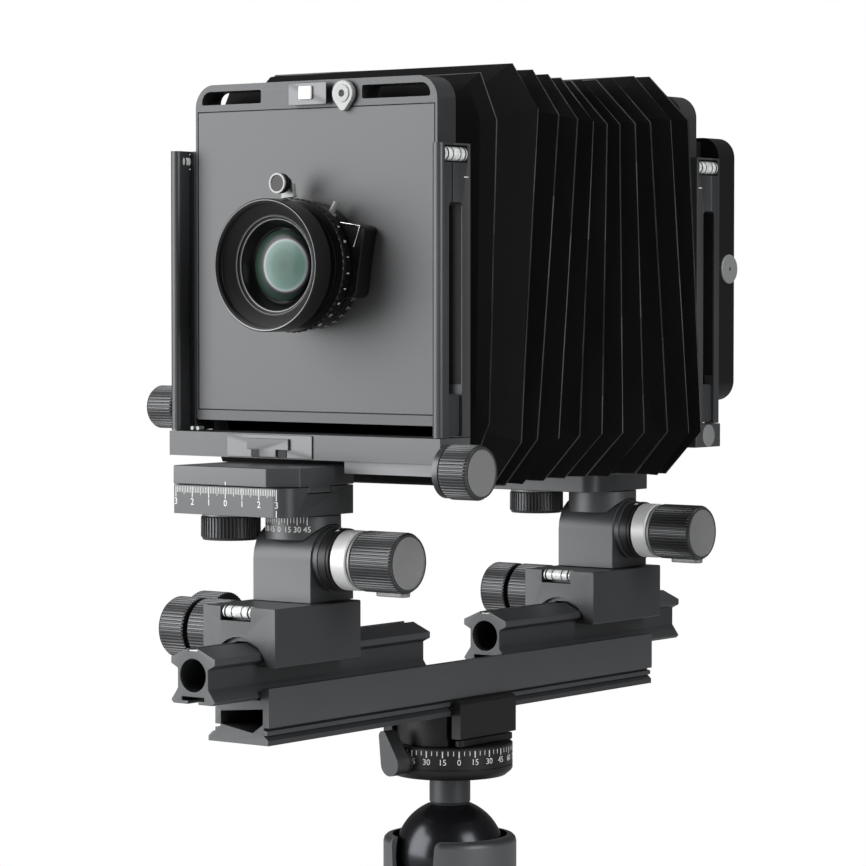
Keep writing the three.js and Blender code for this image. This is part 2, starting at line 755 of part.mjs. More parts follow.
function shiftSet(end) {
  const y0 = end.tiltAxis - shiftPlate.ahead;
  const y1 = end.tiltAxis + shiftPlate.behind;
  const { left, right, corner, slideCut } = shiftPlate;
  const outline = rounded([-left, right], [y0, y1], [1, corner, 1, 1]);
  const knobY = end.tiltAxis - shiftKnob.ahead;
  const knobBore = shiftKnob.shaftRadius + runningGap;
  const tongueY = (y0 + y1) / 2;
  const tongue = (grow, top) => prism('x', [
    [tongueY - shiftPlate.tongueHalf - grow, slideBottom - shiftPlate.tongueHeight - grow],
    [tongueY + shiftPlate.tongueHalf + grow, slideBottom - shiftPlate.tongueHeight - grow],
    [tongueY + shiftPlate.tongueHalf - 2 + grow, top],
    [tongueY - shiftPlate.tongueHalf + 2 - grow, top],
  ], -left - (grow ? 1 : 0), right + (grow ? 1 : 0));
  const plate = prism('z', outline, shiftPlateBottom, shiftPlateTop)
    .subtract(tongue(runningGap, slideBottom + 1))
    .subtract(rod('z', [0, end.tiltAxis, tiltHeadTop - 1], tiltHead.pinHeight + 1 + runningGap,
      tiltHead.pinRadius + runningGap, 24))
    .subtract(rod('z', [shiftKnob.x, knobY, shiftPlateBottom - 1], 7, knobBore, 20));
  add(`${end.name}_shift_plate`, plate, 'anodised');

  const slideOutline = [
    [-left, y0], [right - slideCut, y0], [right, y0 + slideCut], [right, y1], [-left, y1],
  ];
  const slide = prism('z', slideOutline, slideBottom, slideTop).add(tongue(0, slideBottom + 1));
  add(`${end.name}_shift_slide`, slide, 'anodised');

  const knobTop = shiftPlateBottom - gap;
  add(`${end.name}_shift_knob`, turned('z', [shiftKnob.x, knobY, 0], [
    [0, knobTop - shiftKnob.height],
    [shiftKnob.radius - 1, knobTop - shiftKnob.height],
    [shiftKnob.radius, knobTop - shiftKnob.height + 1],
    [shiftKnob.radius, knobTop - 1],
    [shiftKnob.radius - 1, knobTop],
    [shiftKnob.shaftRadius, knobTop],
    [shiftKnob.shaftRadius, knobTop + 5],
    [0, knobTop + 5],
  ], 24), 'knob');
}

function baseAndColumns(end) {
  const front = end.y(-base.front);
  const rear = end.y(base.back);
  const isFront = end.name === 'front';
  let plate = block([-columnOuter, columnOuter], [front, rear], [baseBottom, baseTop]);
  if (isFront) {
    const barTop = baseBottom + 1;
    const barBottom = baseBottom - orbixKnob.barHeight;
    const barY = frontPlane + orbixKnob.y;
    const shaftHeight = baseBottom - orbixKnob.drop;
    plate = plate
      .add(block([shiftPlate.right + 6, columnOuter], [barY - 3.5, barY + 6], [barBottom, barTop]))
      .subtract(rod('x', [columnOuter - 9, barY, shaftHeight], 20, 2 + runningGap, 20));
    const knobStart = columnOuter + gap;
    const knobEnd = knobStart + orbixKnob.length;
    add('orbix_knob', turned('x', [0, barY, shaftHeight], [
      [0, columnOuter - 8],
      [2, columnOuter - 8],
      [2, knobStart],
      [orbixKnob.radius - 1, knobStart],
      [orbixKnob.radius, knobStart + 1],
      [orbixKnob.radius, knobEnd - 1.2],
      [orbixKnob.radius - 1, knobEnd],
      [0, knobEnd],
    ], 24), 'knob');
  }
  add(`${end.name}_base`, plate, 'anodised');

  const knobY = end.y(riseKnob.depth);
  const knobHeight = baseTop + riseKnob.rise;
  for (const [side, sign] of [['left', -1], ['right', 1]]) {
    const wall = [sign * columnInner, sign * columnOuter];
    const lip = rounded(span(sign * (columnOuter - column.lip), sign * columnOuter), span(front, end.y(1)),
      column.lipRound);
    let piece = block(wall, [end.y(0), rear], [columnBottom, columnTop])
      .add(prism('z', lip, columnBottom, columnTop));
    const vialTop = columnTop - column.vialDrop;
    piece = piece.subtract(block([sign * (columnOuter - column.vialDepth), sign * (columnOuter + 1)],
      [end.y(-6), end.y(11)], [vialTop - column.vialHeight, vialTop]));
    if (side === 'right') {
      const slot = prism('x', rounded(span(end.y(-column.slotFront), end.y(column.slotBack)),
        [columnBottom - 5, columnTop - column.slotTop], [0, 0, 2, 2]), columnInner - 1, columnOuter + 1);
      piece = piece.subtract(slot);
    } else {
      piece = piece.subtract(rod('x', [-columnOuter - 1, knobY, knobHeight], 12,
        riseKnob.shaftRadius + runningGap, 20));
      const knobOuter = -columnOuter - gap - riseKnob.length;
      add(`${end.name}_rise_knob`, turned('x', [0, knobY, knobHeight], [
        [0, knobOuter],
        [riseKnob.radius - 1, knobOuter],
        [riseKnob.radius, knobOuter + 1],
        [riseKnob.radius, -columnOuter - gap - 1],
        [riseKnob.radius - 1, -columnOuter - gap],
        [riseKnob.shaftRadius, -columnOuter - gap],
        [riseKnob.shaftRadius, -columnInner],
        [0, -columnInner],
      ], 24), 'knob');
    }
    add(`${end.name}_column_${side}`, piece, 'anodised');
  }
}

function formatFrame(end) {
  const inner = end.y(frame.depth);
  const outer = end.y(0);
  const { corner, foot } = frame;
  const outline = rounded([-frameHalf, frameHalf], [frameBottom, frameTop], [foot, foot, corner, corner]);
  const half = frame.window / 2;
  const recess = boardSize / 2 + gap;
  let ring = prism('y', outline, outer, inner)
    .subtract(block([-half, half], span(outer, inner, 1), [lensAxis - half, lensAxis + half]));
  const windowSpan = [lensAxis + boardSize / 2 + 3.4, frameTop - 3.2];
  if (end.name === 'front') {
    ring = ring.subtract(block([-recess, recess], [outer - 1, outer + boardThickness + gap],
      [lensAxis - recess, lensAxis + recess]));
  }
  const through = span(outer, inner, 1);
  ring = ring
    .subtract(prism('y', rounded([4 - frameHalf, -frame.lockLeft], windowSpan, [1, 1, 1, 5]), ...through))
    .subtract(prism('y', rounded([frame.lockRight, frameHalf - 4], windowSpan, [1, 1, 5, 1]), ...through));
  // the guide block in the right column's slot
  const sliderBottom = columnBottom + 0.6;
  const guideTop = sliderBottom + frame.sliderHeight;
  const guideOutline = rounded(span(end.y(-column.slotFront + gap), end.y(column.slotBack - gap)),
    [sliderBottom, guideTop], 2);
  const guide = prism('x', guideOutline, frameHalf - 0.5, columnOuter - 1.4);
  const guideWeb = block([frameHalf - 1, frameHalf + 4], [end.y(0.2), end.y(column.slotBack - gap)],
    [frameBottom, guideTop - 1]);
  ring = ring.add(guideWeb).add(guide);
  add(`${end.name}_frame`, ring, 'anodised');
}

// ---------- lens and board ----------

function lensBoard() {
  const half = boardSize / 2;
  const holeRadius = lens.mountRadius + runningGap;
  const hole = rod('y', [0, frontPlane - 1, lensHeight], boardThickness + 2, holeRadius, 28);
  const boardBack = frontPlane + boardThickness;
  const board = block([-half, half], [frontPlane, boardBack], [lensAxis - half, lensAxis + half]);
  add('lens_board', board.subtract(hole), 'board');

  const camX = 19.4;
  const camZ = lensAxis + boardSize / 2 + 6.1;
  const cam = new THREE.Shape();
  cam.absarc(camX, camZ, 6.2, THREE.MathUtils.degToRad(-30), THREE.MathUtils.degToRad(210));
  cam.absarc(camX, camZ - 5.6, 2.6, THREE.MathUtils.degToRad(210), THREE.MathUtils.degToRad(330));
  add('board_lock_cam', prism('y', cam, frontPlane - gap - 2.6, frontPlane - gap), 'silver');
}

function lensParts() {
  const face = frontPlane - gap;
  const shutterFront = face - lens.shutterDepth;
  const ringStart = shutterFront + 1;
  const neck = lens.ringRadius - 4;
  const shutter = turned('y', [0, 0, lensHeight], [
    [14, frontPlane + boardThickness + 3],
    [lens.mountRadius, frontPlane + boardThickness + 3],
    [lens.mountRadius, face],
    [lens.shutterRadius, face],
    [lens.shutterRadius, ringStart + lens.ringLength + 0.2],
    [neck, ringStart + lens.ringLength + 0.2],
    [neck, shutterFront],
    [14, shutterFront],
  ], 32);
  const box = block([20, 38], [face - 10, face - 0.2], [lensHeight - 16, lensHeight + 12]);
  const bump = block([-17, -7], [face - 9, face - 0.2], [lensHeight + 20, lensHeight + 31]);
  add('shutter_body', shutter.add(box).add(bump)
    .subtract(rod('y', [0, face - lens.shutterDepth + 1, lensHeight], 12, 22, 28)), 'lensBlack');

  add('speed_ring', turned('y', [0, 0, lensHeight], [
    [neck + runningGap, ringStart],
    [lens.ringRadius, ringStart],
    [lens.ringRadius, ringStart + lens.ringLength - 0.2],
    [neck + runningGap, ringStart + lens.ringLength - 0.2],
  ], 32), 'lensBlack');

  const rim = shutterFront - lens.rimLength;
  const backFace = shutterFront - gap;
  add('front_lens_cell', turned('y', [0, 0, lensHeight], [
    [13.5, backFace],
    [lens.cellRadius, backFace],
    [lens.cellRadius + 2, backFace - 3],
    [lens.rimRadius, backFace - 6],
    [lens.rimRadius, rim - gap],
    [lens.rimRadius - 1.5, rim - gap],
    [lens.rimRadius - 3, rim + 2],
    [lens.glassRadius + 4, rim + 6],
    [lens.glassRadius + 0.8, rim + 7],
    [lens.glassRadius + 0.8, rim + 11.4],
    [13.5, rim + 11.4],
  ], 32), 'lensBlack');

  const glassBack = rim + 11.1;
  add('front_lens', turned('y', [0, 0, lensHeight], [
    [0, glassBack],
    [lens.glassRadius, glassBack],
    [lens.glassRadius, glassBack - lens.glassEdge],
    ...[0.85, 0.65, 0.4, 0.2].map((share) => [
      lens.glassRadius * share,
      glassBack - lens.glassEdge - lens.glassBulge * (1 - share ** 2),
    ]),
    [0, glassBack - lens.glassEdge - lens.glassBulge],
  ], 28), 'lensGlass');

  const { leverX, leverRise, leverKnob } = lens;
  const armBack = face - 10.2;
  const armFront = armBack - 3;
  const armFoot = lensHeight + lens.ringRadius - 2;
  const lever = block([leverX - 4, leverX + 4], [armFront, armBack], [armFoot, lensHeight + leverRise])
    .add(rod('y', [leverX, armFront - 4.2, lensHeight + leverRise], 7.2, leverKnob, 24));
  const ringRoom = rod('y', [0, face - 30, lensHeight], 40, lens.ringRadius + gap, 32);
  add('cocking_lever', lever.subtract(ringRoom), 'silver');
}

// ---------- ground-glass back ----------

function groundGlassBack() {
  const inner = rearPlane + gap;
  const plateFront = rearPlane + base.front + gap;
  const rearFace = plateFront + back.depth;
  const half = columnOuter - back.sideInset;
  const neckHalf = frameHalf - 4;
  const top = lensAxis + boardSize / 2 - back.topInset;
  const bottom = lensAxis - boardSize / 2 + back.bottomInset;
  const glassFront = rearFace - back.seatDepth;
  const { openingHalf, openingRise } = back;
  const seatHalf = openingHalf + back.seat;
  const seatRise = openingRise + back.seat;
  const body = prism('y', rounded([-half, half], [bottom, top], back.corner), plateFront, rearFace)
    .add(block([-neckHalf, neckHalf], [inner, plateFront + 1], [bottom + 3, top - 2]))
    .subtract(block([-openingHalf, openingHalf], [inner - 1, rearFace + 1],
      [lensAxis - openingRise, lensAxis + openingRise]))
    .subtract(block([-seatHalf, seatHalf], [glassFront, rearFace + 1],
      [lensAxis - seatRise, lensAxis + seatRise]));
  add('ground_glass_back', body, 'darkAnodised');
  const glassFace = glassFront + gap;
  const glass = block([-seatHalf + gap, seatHalf - gap], [glassFace, glassFace + back.glass],
    [lensAxis - seatRise + gap, lensAxis + seatRise - gap]);
  add('ground_glass', glass, 'groundGlass');
}

// ---------- bellows ----------

function bellowsOutline(grow) {
  const { halfWidth, top, bottom, chamferX, chamferZ } = bellows;
  const w = halfWidth + grow;
  const high = lensAxis + top + grow;
  const low = lensAxis - bottom - grow;
  return [
    [-w + chamferX, low], [w - chamferX, low], [w, low + chamferZ], [w, high - chamferZ],
    [w - chamferX, high], [-w + chamferX, high], [-w, high - chamferZ], [-w, low + chamferZ],
  ];
}

// One ring after each movement, counted from the rear frame; a ring ends in the middle of the
// two stretches that bend on each side of its body.
function bellowsRings() {
  const rearEnd = rearPlane - frame.depth - gap;
  let start = rearEnd;
  let boundary = rearEnd;
  bellows.lengths.forEach((length, i) => {
    boundary -= length;
    const next = i + 1 < bellows.lengths.length ? bellows.lengths[i + 1] / 2 : 0;
    const end = boundary - next;
    const inside = prism('y', bellowsOutline(-bellows.wall), end - 1, start + 1);
    const ring = prism('y', bellowsOutline(0), end + gap / 2, start - gap / 2).subtract(inside);
    add(`bellows_${String(i + 1).padStart(2, '0')}`, ring, 'bellowsCloth');
    start = end;
  });
}

// ---------- the whole camera ----------

ballHead();
clampParts();
rails();
for (const end of [ends.front, ends.rear]) {
  carriage(end);
  tiltSet(end);
  shiftSet(end);
  baseAndColumns(end);
  formatFrame(end);
}
lensBoard();
lensParts();
groundGlassBack();
bellowsRings();

export default group;
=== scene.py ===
# The looks of a monorail view camera on a ball head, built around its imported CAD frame.
# Sizes in this script are millimetres; meshes are written in metres.
import json
import math

import bmesh
import bpy
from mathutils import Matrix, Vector, noise

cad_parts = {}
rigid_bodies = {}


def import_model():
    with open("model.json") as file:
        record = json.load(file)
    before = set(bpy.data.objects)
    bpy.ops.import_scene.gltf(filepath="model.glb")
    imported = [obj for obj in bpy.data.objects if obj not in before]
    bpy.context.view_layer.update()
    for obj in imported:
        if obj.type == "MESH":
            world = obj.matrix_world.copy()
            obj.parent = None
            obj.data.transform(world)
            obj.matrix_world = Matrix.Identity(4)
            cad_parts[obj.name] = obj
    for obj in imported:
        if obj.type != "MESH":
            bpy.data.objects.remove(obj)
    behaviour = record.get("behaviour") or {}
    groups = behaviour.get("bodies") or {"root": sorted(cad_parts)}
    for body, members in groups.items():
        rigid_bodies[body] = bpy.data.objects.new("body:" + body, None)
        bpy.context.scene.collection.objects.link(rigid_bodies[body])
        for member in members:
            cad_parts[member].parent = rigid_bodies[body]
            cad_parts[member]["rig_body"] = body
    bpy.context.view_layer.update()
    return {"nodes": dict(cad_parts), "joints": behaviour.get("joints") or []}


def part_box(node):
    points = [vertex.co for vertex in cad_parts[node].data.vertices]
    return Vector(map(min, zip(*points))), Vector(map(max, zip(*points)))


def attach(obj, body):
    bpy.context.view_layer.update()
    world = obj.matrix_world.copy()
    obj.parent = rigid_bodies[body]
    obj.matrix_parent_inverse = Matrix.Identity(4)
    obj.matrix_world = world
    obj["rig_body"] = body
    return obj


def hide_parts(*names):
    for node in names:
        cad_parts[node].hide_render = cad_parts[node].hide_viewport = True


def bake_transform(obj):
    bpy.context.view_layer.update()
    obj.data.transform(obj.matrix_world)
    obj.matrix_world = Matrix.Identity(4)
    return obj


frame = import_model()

MM = 0.001
TAU = 2 * math.pi


# ---------- places, from the frame ----------

def box(node):
    """A node's lowest and highest corners in millimetres."""
    low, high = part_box(node)
    return low / MM, high / MM


def middle(node):
    low, high = box(node)
    return (low + high) / 2


def body_of(node):
    return frame["nodes"][node]["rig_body"]


board_low, board_high = box("lens_board")
frame_low, frame_high = box("front_frame")
BOARD_Z = (board_low.z + board_high.z) / 2
LENS_Z = middle("front_lens_cell").z
BOARD_PLANE = board_low.y - 0.3
ENDS = ("front", "rear")
# How far the centre of the rings painted on the front glass (the next element's edge, and a painted highlight
# beside it) sits to one side, and how far back the front glass lies in its cell.
PAINTED_RING_SHIFT = 3.6
GLASS_SET_BACK = 3.4


# ---------- materials ----------

def shader_node(nodes, kind, **inputs):
    """A new shader node with values for its inputs, in whose names an underscore stands for a space."""
    made = nodes.new("ShaderNode" + kind)
    for name, value in inputs.items():
        made.inputs[name.replace("_", " ")].default_value = value
    return made


def surface(name, colour, rough, metal=0.0, grain=900.0, bump=0.06, tint=0.12, patch=14.0, spread=0.05,
            edge=0.0,
            sockets=()):
    """A finish whose colour, gloss and relief vary over the surface: patches, a fine grain, and sharp edges
    lightened as wear and as a painted highlight.
    """
    material = bpy.data.materials.new(name)
    material.use_nodes = True
    nodes = material.node_tree.nodes
    link = material.node_tree.links.new
    shader = nodes["Principled BSDF"]
    for socket, value in (("Metallic", metal), *sockets):
        shader.inputs[socket].default_value = value
    place = shader_node(nodes, "TexCoord").outputs["Object"]

    patches = shader_node(nodes, "TexNoise", Scale=patch, Detail=5)
    link(place, patches.inputs["Vector"])
    ramp = shader_node(nodes, "ValToRGB")
    for element, position, change in zip(ramp.color_ramp.elements, (0.3, 0.7), (-tint, tint)):
        element.position = position
        element.color = (*[min(1, c * (1 + change)) for c in colour], 1)
    link(patches.outputs["Fac"], ramp.inputs["Fac"])
    coloured = ramp.outputs["Color"]
    # Sharp edges lightened by pointiness: partly wear, partly a painted highlight.
    if edge:
        edge_wear_and_highlight = shader_node(nodes, "MapRange", From_Min=0.53, From_Max=0.62, To_Max=edge)
        link(shader_node(nodes, "NewGeometry").outputs["Pointiness"], edge_wear_and_highlight.inputs["Value"])
        mix = shader_node(nodes, "Mix")
        mix.data_type = "RGBA"
        link(edge_wear_and_highlight.outputs["Result"], mix.inputs["Factor"])
        link(coloured, mix.inputs["A"])
        mix.inputs["B"].default_value = (*[min(1, c * 3 + 0.1) for c in colour], 1)
        coloured = mix.outputs["Result"]
    link(coloured, shader.inputs["Base Color"])

    gloss = shader_node(nodes, "MapRange", To_Min=max(0.02, rough - spread), To_Max=min(1, rough + spread))
    link(patches.outputs["Fac"], gloss.inputs["Value"])
    link(gloss.outputs["Result"], shader.inputs["Roughness"])

    fine = shader_node(nodes, "TexNoise", Scale=grain, Detail=3)
    link(place, fine.inputs["Vector"])
    relief = shader_node(nodes, "Bump", Strength=bump, Distance=0.0002)
    link(fine.outputs["Fac"], relief.inputs["Height"])
    link(relief.outputs["Normal"], shader.inputs["Normal"])
    return material


def coated_glass():
    """Front element: dark glass with its reflections painted into its colour: the coatings' mint green in the
    middle and magenta at the rim, a pale painted highlight ring just inside the next element's edge, and that
    edge as a dark ring set a little to one side."""
    material = surface("coated_glass", (0.1, 0.2, 0.16), 0.34, 0.0, grain=60, bump=0.0, spread=0.02,
                       sockets=(("Specular IOR Level", 0.25), ("Coat Weight", 0.08), ("Coat Roughness", 0.1)))
    nodes = material.node_tree.nodes
    link = material.node_tree.links.new
    radial = shader_node(nodes, "Mapping", Location=(-PAINTED_RING_SHIFT * MM, 0, -LENS_Z * MM))
    link(nodes["Texture Coordinate"].outputs["Object"], radial.inputs["Vector"])
    flatten = shader_node(nodes, "VectorMath")
    flatten.operation = "MULTIPLY"
    flatten.inputs[1].default_value = (1, 0, 1)
    link(radial.outputs[0], flatten.inputs[0])
    reach = shader_node(nodes, "VectorMath")
    reach.operation = "LENGTH"
    link(flatten.outputs[0], reach.inputs[0])
    share = shader_node(nodes, "MapRange", From_Max=21 * MM)
    link(reach.outputs["Value"], share.inputs["Value"])
    ramp = shader_node(nodes, "ValToRGB")
    # Painted reflections by distance from an offset centre: coating colours, a pale highlight ring, and a
    # dark ring at the next element's edge.
    stops = ((0.0, (0.012, 0.055, 0.035)), (0.3, (0.04, 0.11, 0.085)), (0.5, (0.12, 0.2, 0.18)),
             (0.56, (0.3, 0.36, 0.35)), (0.585, (0.09, 0.06, 0.09)), (0.62, (0.004, 0.009, 0.007)),
             (0.74, (0.014, 0.035, 0.024)), (1.0, (0.018, 0.036, 0.028)))
    while len(ramp.color_ramp.elements) < len(stops):
        ramp.color_ramp.elements.new(0.5)
    for element, (position, colour) in zip(ramp.color_ramp.elements, stops):
        element.position = position
        element.color = (*colour, 1)
    link(share.outputs["Result"], ramp.inputs["Fac"])
    link(ramp.outputs["Color"], nodes["Principled BSDF"].inputs["Base Color"])
    return material


MATERIALS = {
    "anodised": surface("satin_anodised", (0.053, 0.055, 0.058), 0.42, 0.45, edge=0.35),
    "dark": surface("dark_anodised", (0.009, 0.0092, 0.01), 0.42, 0.3, edge=0.25,
                    sockets=(("Specular IOR Level", 0.35),)),
    # Black for printed lines and vial rings, and as painted shade inside the column slots.
    "black": surface("black_print_and_painted_shade", (0.006, 0.006, 0.007), 0.6, 0.1),
    "board": surface("board_enamel", (0.085, 0.087, 0.09), 0.5, 0.3, grain=1400, bump=0.1, tint=0.06,
                     patch=9),
    "knurl": surface("knurled_black", (0.04, 0.041, 0.043), 0.38, 0.6, edge=0.6),
    "cap": surface("turned_cap", (0.27, 0.272, 0.276), 0.5, 0.4, grain=700, bump=0.05),
    "silver": surface("silver_anodised", (0.3, 0.305, 0.305), 0.5, 0.35, grain=1200, bump=0.06, tint=0.05),
    "collar": surface("bright_collar", (0.7, 0.705, 0.705), 0.5, 0.25, grain=1200, bump=0.06, tint=0.04),
    "chrome": surface("bright_plating", (0.75, 0.75, 0.76), 0.12, 1.0, bump=0.02, tint=0.04),
    "lens": surface("lens_black", (0.004, 0.004, 0.0044), 0.32, 0.2, edge=0.2,
                    sockets=(("Specular IOR Level", 0.35),)),
    "lens_inner": surface("lens_inner_black", (0.009, 0.009, 0.0095), 0.5, 0.2,
                          sockets=(("Specular IOR Level", 0.3),)),
    "painted_reflection_glass": coated_glass(),
    "ivory": surface("white_engraving", (0.8, 0.8, 0.79), 0.5, tint=0.03),
    "red": surface("red_paint", (0.7, 0.02, 0.03), 0.4, tint=0.05),
    "green": surface("green_paint", (0.03, 0.4, 0.06), 0.4, tint=0.05),
    "ball": surface("ball_coating", (0.035, 0.036, 0.04), 0.24, 0.85, grain=500, bump=0.02, tint=0.05),
    "frosted": surface("ground_glass", (0.62, 0.66, 0.65), 0.55, 0.0, grain=2500, bump=0.25, tint=0.03,
                       sockets=(("Transmission Weight", 0.35),)),
    "vial": surface("vial_acrylic", (0.75, 0.77, 0.77), 0.1, 0.0, bump=0.0, tint=0.25, patch=500,
                    sockets=(("Coat Weight", 0.8),)),
    "liquid": surface("vial_bubble", (0.97, 0.98, 0.97), 0.05, 0.0, bump=0.0, tint=0.02),
    "cloth": surface("bellows_cloth", (0.003, 0.003, 0.0032), 0.8, 0.0, grain=1800, bump=0.5, tint=0.25,
                     patch=30, spread=0.08, sockets=(("Specular IOR Level", 0.15),)),
    # Lighter strip along each bellows ridge: a painted highlight where the folded edge catches the light.
    "cloth_ridge_highlight": surface("bellows_ridge_painted_highlight", (0.05, 0.05, 0.052), 0.6, 0.0, grain=1800, bump=0.4, tint=0.35,
                          patch=60),
}


# ---------- meshes ----------

def make_mesh(name, points, faces, indices=None, angle=35):
    mesh = bpy.data.meshes.new(name)
    mesh.from_pydata([Vector(p) * MM for p in points], [], faces)
    if indices:
        mesh.polygons.foreach_set("material_index", indices)
    mesh.validate()
    mesh.shade_smooth()
    mesh.set_sharp_from_angle(angle=math.radians(angle))
    return mesh


def piece(name, mesh, materials, body, replaces=()):
    """A finished mesh as a piece of the object, on its body."""
    obj = bpy.data.objects.new(name, mesh)
    bpy.context.scene.collection.objects.link(obj)
    for material in materials:
        obj.data.materials.append(MATERIALS[material])
    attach(obj, body)
    if replaces:
        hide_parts(*replaces)
    return obj


def turned(name, axis, centre, rows, materials, body, slot, replaces=(), segments=96, **shape):
    """A turned piece on its body; rows as in lathe()."""
    mesh = lathe(name, axis, centre, rows, segments, **shape)
    return piece(name, mesh, materials, body, replaces)


def applied(obj):
    """Turns an object's modifiers into its mesh."""
    graph = bpy.context.evaluated_depsgraph_get()
    mesh = bpy.data.meshes.new_from_object(obj.evaluated_get(graph))
    obj.modifiers.clear()
    obj.data = mesh
    return obj


def outward(mesh):
    shape = bmesh.new()
    shape.from_mesh(mesh)
    bmesh.ops.recalc_face_normals(shape, faces=shape.faces)
    shape.to_mesh(mesh)
    shape.free()
    return mesh


def bare_copy(node, merged=True):
    """A CAD node's shape as a new mesh, with its flat triangles merged unless its flat faces have holes."""
    shape = bmesh.new()
    shape.from_mesh(frame["nodes"][node].data)
    bmesh.ops.remove_doubles(shape, verts=shape.verts, dist=2e-6)
    if merged:
        bmesh.ops.dissolve_limit(shape, angle_limit=math.radians(0.5), verts=shape.verts, edges=shape.edges)
    points = [v.co / MM for v in shape.verts]
    faces = [[v.index for v in f.verts] for f in shape.faces]
    shape.free()
    return points, faces


def levelled(obj):
    """Keeps flat faces flat in the light beside their broken edges."""
    obj.data.shade_smooth()
    obj.data.set_sharp_from_angle(angle=math.radians(50))
    level = obj.modifiers.new("level", "WEIGHTED_NORMAL")
    level.keep_sharp = True
    level.weight = 90
    return applied(obj)


def broken_edges(obj, width, angle, arcs=False):
    """Rounds the edges that are sharper than an angle, and keeps the flat faces flat."""
    bevel = obj.modifiers.new("edges", "BEVEL")
    bevel.width = width * MM
    bevel.segments = 2
    bevel.limit_method = "ANGLE"
    bevel.angle_limit = math.radians(angle)
    if arcs:
        bevel.miter_outer = "MITER_ARC"
    return levelled(applied(obj))


def dressed(node, material, width=0.35, merged=True):
    """A CAD node's own shape with broken edges, standing for the node."""
    name = node + "_skin"
    points, faces = bare_copy(node, merged)
    obj = piece(name, make_mesh(name, points, faces, angle=30), [material], body_of(node), [node])
    return broken_edges(obj, width, 32, arcs=True)


def cut(obj, mesh):
    """Takes the space inside a closed mesh out of an object."""
    cutter = bpy.data.objects.new("cutter", mesh)
    bpy.context.scene.collection.objects.link(cutter)
    subtract = obj.modifiers.new("cut", "BOOLEAN")
    subtract.object = cutter
    subtract.solver = "EXACT"
    applied(obj)
    bpy.data.objects.remove(cutter)


AXES = {
    "x": lambda r, a, t: (t, r * math.cos(a), r * math.sin(a)),
    "y": lambda r, a, t: (r * math.cos(a), t, r * math.sin(a)),
    "z": lambda r, a, t: (r * math.cos(a), r * math.sin(a), t),
}


def lathe(name, axis, centre, profile, segments=96, grooves=0, depth=0.55, angle=35):
    """A turned mesh. A profile row is (radius, place along the axis, material index, grooved); the last two
    may be left out."""
    profile = [(*row, *(0, False)[len(row) - 2:]) for row in profile]
    steps = grooves * 4 if grooves else segments
    points = []
    faces = []
    indices = []
    rings = []
    for radius, along, _, grooved in profile:
        if radius < 0.001:
            rings.append([len(points)])
            points.append(Vector(AXES[axis](0, 0, along)) + Vector(centre))
            continue
        ring = []
        for i in range(steps):
            cut = depth if grooved and i % 4 in (2, 3) else 0
            turn = TAU * (i + (0.28 if i % 4 in (1, 3) else 0) * bool(grooves)) / steps
            ring.append(len(points))
            points.append(Vector(AXES[axis](radius - cut, turn, along)) + Vector(centre))
        rings.append(ring)
    rings.append(rings[0])
    for row, (low, high) in enumerate(zip(rings, rings[1:])):
        if len(low) == 1 and len(high) == 1:
            continue
        for i in range(steps):
            k = (i + 1) % steps
            corners = [low[i % len(low)], low[k % len(low)], high[k % len(high)], high[i % len(high)]]
            faces.append(list(dict.fromkeys(corners)))
            indices.append(profile[row][2])
    return outward(make_mesh(name, points, faces, indices, angle))


def bar(radius, start, end):
    """Profile rows of a plain round bar."""
    return [(0, start), (radius, start), (radius, end), (0, end)]


def slab(outline, low, high, place):
    """A closed prism over a flat outline in (u, v); place turns (u, v, w) into a point."""
    count = len(outline)
    points = [place(u, v, w) for w in (low, high) for u, v in outline]
    faces = [list(range(count))[::-1], list(range(count, 2 * count))]
    faces += [[i, (i + 1) % count, count + (i + 1) % count, count + i] for i in range(count)]
    return points, faces


def joined(parts):
    """Several (points, faces) lists as one."""
    points = []
    faces = []
    for more_points, more_faces in parts:
        start = len(points)
        points += more_points
        faces += [[start + i for i in face] for face in more_faces]
    return points, faces


def oblong(u0, u1, v0, v1):
    """A plain rectangle as a flat outline."""
    return [(u0, v0), (u1, v0), (u1, v1), (u0, v1)]


def rounded(width, height, radius, steps=5, at=(0, 0)):
    """A rectangle with round corners about a point."""
    outline = []
    for corner, (sx, sy) in enumerate(((1, 1), (-1, 1), (-1, -1), (1, -1))):
        for i in range(steps + 1):
            turn = math.pi / 2 * (corner + i / steps)
            outline.append((at[0] + sx * (width / 2 - radius) + radius * math.cos(turn),
                            at[1] + sy * (height / 2 - radius) + radius * math.sin(turn)))
    return outline


def plate(name, outline, low, high, place, materials, body, width=0.25):
    """A prism with broken edges."""
    points, faces = slab(outline, low, high, place)
    obj = piece(name, outward(make_mesh(name, points, faces, angle=30)), materials, body)
    return broken_edges(obj, width, 40)


def facing_front(y):
    """Places (u, v, w) on a face that looks along -Y."""
    return lambda u, v, w: (u, y - w, v)


def facing_back(y):
    return lambda u, v, w: (u, y + w, v)


def facing_right(x):
    return lambda u, v, w: (x + w, u, v)


def facing_up(z):
    return lambda u, v, w: (u, v, z + w)


# ---------- engraved and printed marks ----------

MARK_LOW = -0.05
MARK_HIGH = 0.06


def tick(u, v0, v1, width=0.22):
    """A scale line as a flat outline."""
    return oblong(u - width / 2, u + width / 2, v0, v1)


